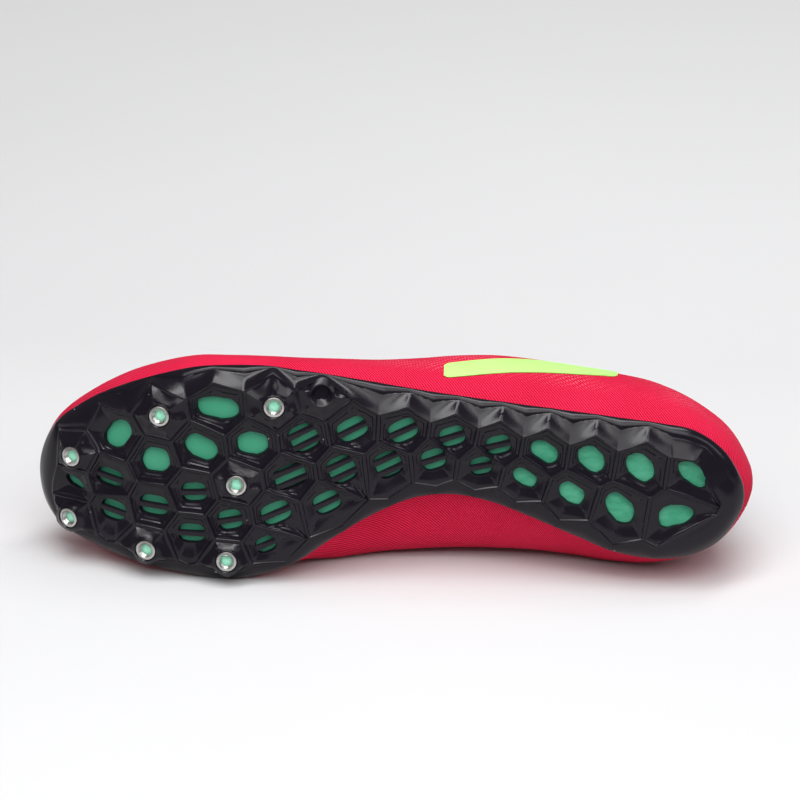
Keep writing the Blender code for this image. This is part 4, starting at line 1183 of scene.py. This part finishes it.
def buildSlats():
    # Bevelled bars side by side across each slatted window
    bars = []
    for row in cells:
        for number in range(row[7]):
            turn = math.radians(row[6])
            along = np.array([-math.cos(turn), math.sin(turn)])
            aside = np.array([math.sin(turn), math.cos(turn)])
            middle = inPlan(row[2], row[3]) + aside * (number - (row[7] - 1) / 2) * barPitch
            reach = row[4] * windowReach + barSeat
            lift = plateWall / 2 - slatLook["sink"]
            ends = skin(np.array([middle - along * reach, middle, middle + along * reach]), lift)
            below = skin(np.array([middle]), lift - 0.001)[0]
            spots = toFrame(np.vstack([ends, [below]]))
            x = Vector(spots[2] - spots[0])
            z = Vector(spots[3] - spots[1])
            x.normalize()
            z = (z - x * z.dot(x)).normalized()
            y = z.cross(x)
            bpy.ops.object.select_all(action="DESELECT")
            bpy.ops.mesh.primitive_cube_add(size=1.0)
            bar = bpy.context.object
            bar.scale = (2 * reach, barWidth, barThickness)
            bpy.ops.object.transform_apply(location=False, rotation=False, scale=True)
            bpy.ops.object.mode_set(mode="EDIT")
            bpy.ops.mesh.select_all(action="SELECT")
            bpy.ops.mesh.bevel(offset=slatLook["bevel"], segments=slatLook["segments"],
                               affect="EDGES")
            bpy.ops.object.mode_set(mode="OBJECT")
            bar.matrix_world = placeAt(spots[1], (x, y, z))
            bpy.ops.object.transform_apply(location=True, rotation=True, scale=True)
            bars.append(bar)
    return joinPieces(bars)


black = plateGloss()
body, faces = buildPlate()
plate = meshFrom("plate", body, faces)
mergeAndTurnOut(plate, 0.000004)
finishPiece(plate, "plate", black, ["outsole_plate"], smooth=34)
slats = buildSlats()
finishPiece(slats, "slats", black, ["outsole_plate"], smooth=30)

print("board: the green sheet behind the windows")


def bedPoints(insets, lift, thickness, steps):
    # A closed sheet over the sole's floor, with its edge set in from the plate's
    places = np.arange(0, around, 1 / steps)
    rows = onLoop(rowsAround, places)
    edge, inward = edgePlace(nearestEdge(rows[:, :2])[1])
    middleOf = edge + inward * insets[-1]
    middle = (middleOf + middleOf[(-np.arange(len(edge))) % len(edge)]) / 2
    rings = [edge + inward * inset for inset in insets]
    last = rings[-1]
    rings += [last + (middle - last) * share for share in (0.3, 0.6, 0.85, 1.0)]
    points, sides, faceList = [], [], []
    for height, lean in ((lift, thickness * 0.25), (lift + thickness, -thickness * 0.25)):
        rows = []
        for k, ring in enumerate(rings):
            first = len(points)
            points.extend(skin(ring, height if k else height + lean))
            rows.append(list(range(first, first + len(ring))))
        sides.append(rows)
        for one, two in zip(rows, rows[1:]):
            faceList += quadsBetween(one, two)
    return np.array(points), faceList + quadsBetween(sides[0][0], sides[1][0])


lift = plateWall + clearance
points, faces = bedPoints((lastingMargin + boardGap, lastingMargin + boardGap + 0.0004), lift,
                          boardThickness, 6)
board = meshFrom("board", points, faces)
mergeAndTurnOut(board, 0.00002)
finishPiece(board, "boardSheet", boardSatin(), ["board"], smooth=40)

print("insole")
points, faces = bedPoints((insoleInset, insoleInset + 0.0006, edgeRollRadius - edgeSetback),
                          lift + upperWall + clearance, insoleThickness, 5)
insole = meshFrom("insole", points, faces)
mergeAndTurnOut(insole, 0.00002)
sideMap(insole)
finishPiece(insole, "sockLining", clothLook("insoleWeave", insoleCloth), ["insole"], smooth=50)

print("upper: the woven shell")
upperLook = {"steps": 8, "climbs": 12, "vampSteps": 7, "eyeletSides": 20}


def buildUpper():
    places = np.arange(0, around, 1 / upperLook["steps"])
    frameAt = wallFrame(places)
    edge, inward = frameAt[:2]
    rings = [skin(edge + inward * lastingMargin * share, plateWall + clearance)
             for share in (1, 0.7, 0.35, 0)]
    for t in np.linspace(0, 1, upperLook["vampSteps"])[1:]:
        rings.append(wallAt(frameAt, t))
    for t in np.linspace(0, 1, upperLook["climbs"] + 1)[1:]:
        rings.append(wallPoint(frameAt, t))
    rings = np.array(rings)
    count = len(places)
    closed = np.concatenate([rings, rings[:, :1]], axis=1)
    across = wayAlong(closed[6])
    down = np.concatenate([np.zeros((1, count)),
                           np.cumsum(np.linalg.norm(np.diff(rings, axis=0), axis=2), axis=0)])
    down = np.concatenate([down, down[:, :1]], axis=1)
    faceList, maps = [], []
    for r in range(len(rings) - 1):
        for k in range(count):
            n = (k + 1) % count
            faceList.append((r * count + k, r * count + n, (r + 1) * count + n, (r + 1) * count + k))
            maps += [(across[k], down[r, k]), (across[k + 1], down[r, k + 1]),
                     (across[k + 1], down[r + 1, k + 1]), (across[k], down[r + 1, k])]
    return meshFrom("upper", rings.reshape(-1, 3), faceList, maps)


def cutEyelets(thing):
    cutters = []
    for place in laceSections:
        for side in (place, around - place):
            middle = wallOffset(side, [eyeletSetback], 0)[0]
            out = wallOffset(side, [eyeletSetback], 1)[0] - middle
            spots = toFrame([middle, middle + out * 0.01])
            bpy.ops.object.select_all(action="DESELECT")
            bpy.ops.mesh.primitive_cylinder_add(vertices=upperLook["eyeletSides"],
                                                radius=eyeletRadius, depth=6 * upperWall)
            cutter = bpy.context.object
            cutter.rotation_mode = "QUATERNION"
            cutter.rotation_quaternion = Vector(spots[1] - spots[0]).to_track_quat("Z", "Y")
            cutter.location = Vector(spots[0])
            cutters.append(cutter)
    cutter = joinPieces(cutters)
    applyModifier(thing, "BOOLEAN", operation="DIFFERENCE", object=cutter, solver="EXACT")
    bpy.data.objects.remove(cutter)


woven = clothLook("upperWeave", dict(upperCloth, fleck=(0.95, 0.32, 0.38), fleckLane=0.0014))
lining = clothLook("liningWeave", liningCloth)
upper = buildUpper()
mergeAndTurnOut(upper)
upper.data.materials.append(woven)
upper.data.materials.append(lining)
applyModifier(upper, "SOLIDIFY", thickness=upperWall, offset=-1.0, use_even_offset=False,
              material_offset=1)
cutEyelets(upper)
finishPiece(upper, "upperShell", [woven, lining], ["upper"], smooth=50)

print("collar: the bound edge")
collarLook = {"steps": 150, "drop": 0.0002, "radius": 0.00115, "sides": 10}


def tube(path, radius, sides, name):
    # A closed round edge along a loop of plan points
    path = np.array(path)
    ahead = np.roll(path, -1, axis=0) - np.roll(path, 1, axis=0)
    ahead /= np.linalg.norm(ahead, axis=1)[:, None]
    side = np.cross(ahead, [0, 0, 1.0])
    side /= np.linalg.norm(side, axis=1)[:, None]
    up = np.cross(side, ahead)
    points, maps, faceList = [], [], []
    turn = 2 * math.pi * np.arange(sides) / sides
    for k in range(sides):
        points.append(path + (side * math.cos(turn[k]) + up * math.sin(turn[k])) * radius)
    run = wayAlong(np.vstack([path, path[:1]]))
    count = len(path)
    for k in range(sides):
        m = (k + 1) % sides
        for j in range(count):
            n = (j + 1) % count
            faceList.append((k * count + j, k * count + n, m * count + n, m * count + j))
            low, high = k * radius * 0.7, (k + 1) * radius * 0.7
            maps += [(run[j], low), (run[j + 1], low), (run[j + 1], high), (run[j], high)]
    return meshFrom(name, np.vstack(points), faceList, maps)


# A little below the top edge, from the throat's end round the heel to the other side
path = [wallOffset(place % around, [collarLook["drop"]], -upperWall / 2)[0]
        for place in np.linspace(-throatEnd + 0.15, throatEnd - 0.15, collarLook["steps"])]
binding = tube(path, collarLook["radius"], collarLook["sides"], "binding")
mergeAndTurnOut(binding)
finishPiece(binding, "collarBinding", woven, smooth=60)

print("tongue and laces")
tongue = copyNode("tongue", "tongue")
applyModifier(tongue, "SUBSURF", levels=2, render_levels=2)
sideMap(tongue)
finishPiece(tongue, "tonguePad", clothLook("tongueWeave", tongueCloth), ["tongue"], smooth=60)

laceLook = {"width": 0.0050, "thickness": 0.0011, "waist": 0.0026, "sides": 12,
            "tuck": 0.0002, "steps": 61}


def ribbon(points, ups, spans, name):
    # A flat braid along a path: ups point off its face, spans are its widths
    points, ups, spans = np.array(points), np.array(ups), np.array(spans)
    ahead = np.gradient(points, axis=0)
    ahead /= np.linalg.norm(ahead, axis=1)[:, None]
    aside = np.cross(ahead, ups)
    aside /= np.linalg.norm(aside, axis=1)[:, None]
    ups = np.cross(aside, ahead)
    sides = laceLook["sides"]
    turn = 2 * math.pi * (np.arange(sides) + 0.5) / sides
    wide = np.sign(np.cos(turn)) * np.abs(np.cos(turn)) ** 0.6
    thick = np.sign(np.sin(turn)) * np.abs(np.sin(turn)) ** 0.8
    rings = [p + np.outer(wide, a) * w / 2 + np.outer(thick, u) * laceLook["thickness"] / 2
             * (laceLook["width"] / w) ** 0.3
             for p, a, u, w in zip(points, aside, ups, spans)]
    run = wayAlong(points)
    faceList, maps = [], []
    for k in range(len(rings) - 1):
        here, ahead = k * sides, (k + 1) * sides
        for j in range(sides):
            n = (j + 1) % sides
            faceList.append((here + j, here + n, ahead + n, ahead + j))
            low, high = wide[j] * laceLook["width"] / 2, wide[n] * laceLook["width"] / 2
            maps += [(run[k], low), (run[k], high), (run[k + 1], high), (run[k + 1], low)]
    total = len(rings) * sides
    faceList += [tuple(range(sides)), tuple(range(total - sides, total))]
    maps += [(0, 0)] * (2 * sides)
    return meshFrom(name, np.vstack(rings), faceList, maps)


def smoothPath(points, count):
    # Points of a soft curve through the given ones
    points = np.array(points)
    places = np.linspace(0, len(points) - 1, count)
    k = np.clip(np.floor(places).astype(int), 0, len(points) - 2)
    t = (places - k)[:, None]
    slopes = np.gradient(points, axis=0)
    return bend(points[k], slopes[k], points[k + 1], slopes[k + 1], t)


def lacePieces():
    parts = []
    inside = -(upperWall + 0.0006)
    tuckAt = eyeletSetback + laceLook["tuck"]
    wide, waist, steps = laceLook["width"], laceLook["waist"], laceLook["steps"]
    for number, place in enumerate(laceSections):
        drops = (eyeletSetback, eyeletSetback * 0.55, 0.0008)
        lift = clearance + laceLook["thickness"] / 2
        over = acrossThroat(place, drops, lift)
        crown = acrossThroat(place, drops, lift + 0.002) - over
        sides = (place, around - place)
        tucks = [wallOffset(side, [tuckAt], deep)[0] for side in sides
                 for deep in (-upperWall / 2, inside)]
        path = np.vstack([[tucks[1], tucks[0]], over, [tucks[2], tucks[3]]])
        ups = np.vstack([[crown[0], crown[0]], crown, [crown[-1], crown[-1]]])
        spans = ([waist] * 2 + [waist * 1.15] + [wide] * (len(over) - 2)
                 + [waist * 1.15] + [waist] * 2)
        ups[:2] = over[1] - over[0]
        ups[-2:] = over[-2] - over[-1]
        fine = smoothPath(path, steps)
        fineUps = smoothPath(ups / np.linalg.norm(ups, axis=1)[:, None], steps)
        fineSpans = np.interp(np.linspace(0, len(path) - 1, steps), range(len(path)), spans)
        parts.append(ribbon(fine, fineUps, fineSpans, f"laceBar{number}"))
        if number + 1 < len(laceSections):
            for side in (1, -1):
                ends = np.linspace(place, laceSections[number + 1], 9)
                ends = ends if side == 1 else around - ends
                run = [wallOffset(end, [tuckAt], inside)[0] for end in ends]
                out = [wallOffset(end, [tuckAt], 1)[0] - spot for end, spot in zip(ends, run)]
                parts.append(ribbon(run, out, [waist] * len(run), f"laceRun{number}"))
    return joinPieces(parts)


lace = lacePieces()
mergeAndTurnOut(lace, 0.000001)
finishPiece(lace, "lace", clothLook("laceWeave", laceCloth),
            [f"lace_bar_{n}" for n in range(1, 7)], smooth=60)

print("stitches")
# Drops below the top edge, sections between which the rows run, and a stitch's sizes
stitchLook = {"drops": (0.0032, 0.0115), "counts": (46, 44), "from": 8.6, "to": 14.3,
              "collarDrop": 0.0034, "collarCount": 110, "collarReach": 8.5, "length": 0.0015,
              "collarLength": 0.0016, "halfWidth": 0.00038, "halfHeight": 0.00026, "sides": 6}


def stitchRow(places, drop, length):
    # Small rounded beads along a line below the top edge
    spots = np.array([wallOffset(place % around, [drop], 0.00005)[0] for place in places])
    lifted = np.array([wallOffset(place % around, [drop], 0.001)[0] for place in places])
    ups = lifted - spots
    ups /= np.linalg.norm(ups, axis=1)[:, None]
    ahead = np.gradient(spots, axis=0)
    ahead /= np.linalg.norm(ahead, axis=1)[:, None]
    points, faceList, maps = [], [], []
    profile = [(-1.0, 0.35), (-0.6, 0.9), (0.0, 1.0), (0.6, 0.9), (1.0, 0.35)]
    sides = stitchLook["sides"]
    turn = 2 * math.pi * np.arange(sides) / sides
    for spot, up, way in zip(spots, ups, ahead):
        aside = np.cross(way, up)
        first = len(points)
        for share, fat in profile:
            for angle in turn:
                points.append(spot + way * share * length / 2
                              + (aside * math.cos(angle) * stitchLook["halfWidth"]
                                 + up * math.sin(angle) * stitchLook["halfHeight"]) * fat)
        for k in range(len(profile) - 1):
            here, ahead = first + k * sides, first + (k + 1) * sides
            for j in range(sides):
                n = (j + 1) % sides
                faceList.append((here + j, here + n, ahead + n, ahead + j))
                maps += [(k * 0.0005, j * 0.0003)] * 4
        last = first + (len(profile) - 1) * sides
        faceList += [tuple(range(first, first + sides)), tuple(range(last, last + sides))]
        maps += [(0, 0)] * (2 * sides)
    return meshFrom("stitchRow", points, faceList, maps)


rowsOfStitches = []
for drop, count in zip(stitchLook["drops"], stitchLook["counts"]):
    places = np.linspace(stitchLook["from"], stitchLook["to"], count)
    for run in (places, around - places):
        rowsOfStitches.append(stitchRow(run, drop, stitchLook["length"]))
reach = stitchLook["collarReach"]
rowsOfStitches.append(stitchRow(np.linspace(-reach, reach, stitchLook["collarCount"]),
                                stitchLook["collarDrop"], stitchLook["collarLength"]))
stitches = joinPieces(rowsOfStitches)
mergeAndTurnOut(stitches, 0.000001)
finishPiece(stitches, "stitches", clothLook("threadWeave", threadCloth), smooth=60)

print("patch: a plain lime film on the side")
# Sections where the band starts and ends, the height of its middle line there (1 is the wall's
# widest place), half its width and how far it stands off the cloth
patchLook = {"from": 5.0, "to": 9.35, "middleFrom": 1.10, "middleTo": 0.54, "half": 0.20,
             "corner": 0.05, "lift": 0.00030, "thickness": 0.00035, "columns": 60, "rows": 12}


def buildPatch():
    columns, rows = patchLook["columns"], patchLook["rows"]
    points, faceList = [], []
    for c in range(columns + 1):
        x = c / columns
        place = patchLook["from"] + (patchLook["to"] - patchLook["from"]) * x
        centre = patchLook["middleFrom"] + (patchLook["middleTo"] - patchLook["middleFrom"]) * x
        rounding = min(1.0, min(x, 1 - x) / patchLook["corner"])
        reach = patchLook["half"] * (0.7 + 0.3 * math.sqrt(1 - (1 - rounding) ** 2))
        frames = framesBeside(place)
        for r in range(rows + 1):
            height = centre + reach * (2 * r / rows - 1)
            points.append(liftOff(wallAt, frames, height, patchLook["lift"]))
    for c in range(columns):
        for r in range(rows):
            a = c * (rows + 1) + r
            faceList.append((a, a + rows + 1, a + rows + 2, a + 1))
    return meshFrom("patch", points, faceList)


patch = buildPatch()
applyModifier(patch, "SOLIDIFY", thickness=patchLook["thickness"], offset=0.0)
mergeAndTurnOut(patch, 0.000001)
finishPiece(patch, "sidePatch", limeFilm(), smooth=40)

print("spike seats: steel sleeves with threads and green plugs")
seatLook = {"threadPitch": 0.0010, "threadDepth": 0.00038, "steps": 40, "plugDepth": 0.0018,
            "turn": 50}


def spunPiece(name, profile, steps):
    # A profile of radius and depth spun once about the axis
    mesh = bpy.data.meshes.new(name)
    mesh.from_pydata([(radius, 0, depth) for radius, depth in profile],
                     [(k, k + 1) for k in range(len(profile) - 1)], [])
    thing = newThing(name, mesh)
    pickOnly(thing)
    bpy.ops.object.mode_set(mode="EDIT")
    bpy.ops.mesh.select_all(action="SELECT")
    bpy.ops.mesh.spin(steps=steps, angle=2 * math.pi, center=(0, 0, 0), axis=(0, 0, 1))
    bpy.ops.object.mode_set(mode="OBJECT")
    mergeAndTurnOut(thing, 0.000002)
    return thing


def buildThread():
    # One turn of the thread's tooth, screwed down the bore
    mesh = bpy.data.meshes.new("thread")
    bore, pitch, deep = receptacleBoreRadius, seatLook["threadPitch"], seatLook["threadDepth"]
    mesh.from_pydata([(bore + 0.0001, 0, 0), (bore - deep, 0, pitch * 0.5),
                      (bore + 0.0001, 0, pitch)], [(0, 1), (1, 2)], [])
    thing = newThing("thread", mesh)
    applyModifier(thing, "SCREW", angle=2 * math.pi, screw_offset=pitch, iterations=3,
                  steps=seatLook["steps"], render_steps=seatLook["steps"], axis="Z",
                  use_merge_vertices=False)
    applyModifier(thing, "SOLIDIFY", thickness=0.0001, offset=0.0)
    return thing


outer, bore, deep = receptacleRadius, receptacleBoreRadius, receptacleDepth
sleeve = spunPiece("sleeve", [
    (outer - 0.0001, deep), (outer, deep - 0.0002), (outer, 0.0004), (outer - 0.00012, 0.00012),
    (outer - 0.0004, 0.0), (outer - 0.0010, -0.00008), (bore + 0.00038, 0.00005),
    (bore + 0.0002, 0.0003), (bore, 0.0006), (bore, deep - 0.0002), (bore + 0.0001, deep),
    (outer - 0.0001, deep)], seatLook["steps"])
plug = spunPiece("plug", [
    (0.0, seatLook["plugDepth"] - 0.0004), (bore * 0.55, seatLook["plugDepth"] - 0.0003),
    (bore * 0.8, seatLook["plugDepth"]), (bore * 0.98, seatLook["plugDepth"] + 0.0001),
    (bore * 0.98, deep - 0.00005), (0.0, deep - 0.00005)], seatLook["steps"])
thread = buildThread()
steel, green = spikeSteel(), seatPlug()
sites = cellSites()
for number in range(1, 8):
    here, across, aside, inward = seatFrame(sites[f"spike_{number}"])
    face = here - inward * bossHeight
    spots = toFrame([face, face + across, face + aside, face + inward])
    x, y, z = (Vector(spots[k] - spots[0]).normalized() for k in (1, 2, 3))
    if x.cross(y).dot(z) < 0:
        y = -y
    place = placeAt(spots[0], (x, y, z))
    place = place @ Matrix.Rotation(math.radians(seatLook["turn"] * number), 4, "Z")
    made = [copyThing(source) for source in (sleeve, thread, plug)]
    for copy in made:
        copy.matrix_world = place
    finishPiece(joinPieces(made[:2]), f"spikeSeat{number}", steel,
                [f"spike_receptacle_{number}"], smooth=30)
    finishPiece(made[2], f"seatPlug{number}", green, smooth=40)
for source in (sleeve, thread, plug):
    bpy.data.objects.remove(source)

print("floor, light and camera")
# The floor's pale colour is painted light away from the shoe; near the shoe it keeps its darker colour
stage = {"floorSize": 6.0, "floorColour": (0.60, 0.60, 0.61),
         "floorCloud": (0.66, 0.66, 0.67), "worldLight": 0.17,
         "paleFrom": 0.20, "farFrom": 0.9, "paleRise": 1.3, "paintedLightColour": (0.90, 0.90, 0.905)}


def makeStage():
    bpy.ops.object.select_all(action="DESELECT")
    bpy.ops.mesh.primitive_plane_add(size=stage["floorSize"], location=(0, 0, -0.0002))
    floor = bpy.context.object
    floor.name = "floor"
    look = Shader("paleFloor")
    cloud = look.noise(look.coordinates(), 3)
    near = look.mix(cloud, stage["floorColour"], stage["floorCloud"])
    # The floor is painted paler behind the shoe, and where the mean of its coordinates is large: painted
    # light that keeps the far floor white where the lamps fall off
    place = look.coordinates()
    behind = (look.parts(place)[1] - stage["paleFrom"]) * stage["paleRise"]
    far = (place.size() - stage["farFrom"]) * stage["paleRise"]
    paintedLightShare = (behind.clamp() + far.clamp()).clamp()
    look.set(Base_Color=look.mix(paintedLightShare, near, stage["paintedLightColour"]), Roughness=0.9)
    floor.data.materials.append(look.material)
    world = bpy.data.worlds.new("studio")
    bpy.context.scene.world = world
    world.use_nodes = True
    sky = world.node_tree.nodes["Background"]
    sky.inputs["Color"].default_value = (1, 1, 1, 1)
    sky.inputs["Strength"].default_value = stage["worldLight"]


# Name, place, what it looks at, size of an area light or spread of a sun in degrees, power
shoeMiddle = (0, 0, 0.04)
lights = [
    ("topLight", (0.05, -0.05, 1.0), shoeMiddle, (1.3, 0.22), 7.0),
    ("softLight", (0.0, -0.75, 0.95), shoeMiddle, (1.3, 0.70), 8.5),
    ("evenLight", (0.1, -0.25, 1.0), (0, 0, 0), 45, 1.05),
    ("sideLight", (0.9, -0.5, 0.75), shoeMiddle, (0.5, 0.5), 2.0),
    ("frontLight", (-0.4, -1.3, 0.9), shoeMiddle, (0.6, 0.4), 0.5),
]


def addLight(name, spot, aim, size, power):
    if isinstance(size, tuple):
        light = bpy.data.lights.new(name, "AREA")
        light.shape = "RECTANGLE"
        light.size, light.size_y = size
    else:
        light = bpy.data.lights.new(name, "SUN")
        light.angle = math.radians(size)
    light.energy = power
    thing = newThing(name, light)
    thing.location = spot
    thing.rotation_mode = "QUATERNION"
    thing.rotation_quaternion = (Vector(spot) - Vector(aim)).to_track_quat("Z", "Y")


cameraLook = {"slant": 16.0, "side": 3.0, "roll": 0.705, "distance": 1.1,
              "aim": (0.1397, 0.0383, 0.005), "pixels": 2808.4}


def placeCamera():
    # The photograph's view: along the sole's normal, a little from the lateral side and the toe
    phi, psi, roll = (math.radians(cameraLook[key]) for key in ("slant", "side", "roll"))
    back = np.array([-math.sin(psi), math.sin(phi) * math.cos(psi), -math.cos(phi) * math.cos(psi)])
    up0 = np.array([0, 1.0, 0]) - back * back[1]
    up0 /= np.linalg.norm(up0)
    right0 = np.cross(up0, back)
    right = right0 * math.cos(roll) + up0 * math.sin(roll)
    up = -right0 * math.sin(roll) + up0 * math.cos(roll)
    spot = np.array(cameraLook["aim"]) + cameraLook["distance"] * back
    places = toFrame([spot, spot + right, spot + up, spot + back])
    axes = [Vector(places[k] - places[0]).normalized() for k in (1, 2, 3)]
    camera = bpy.data.cameras.new("camera")
    camera.sensor_width = 36.0
    camera.lens = cameraLook["pixels"] * camera.sensor_width / 800
    thing = newThing("camera", camera)
    thing.matrix_world = placeAt(places[0], axes)
    bpy.context.scene.camera = thing
    print("camera height", places[0][2], "looks down by",
          math.degrees(math.asin(axes[2].z)))


makeStage()
for light in lights:
    addLight(*light)
placeCamera()
bpy.context.scene.view_settings.view_transform = "Standard"
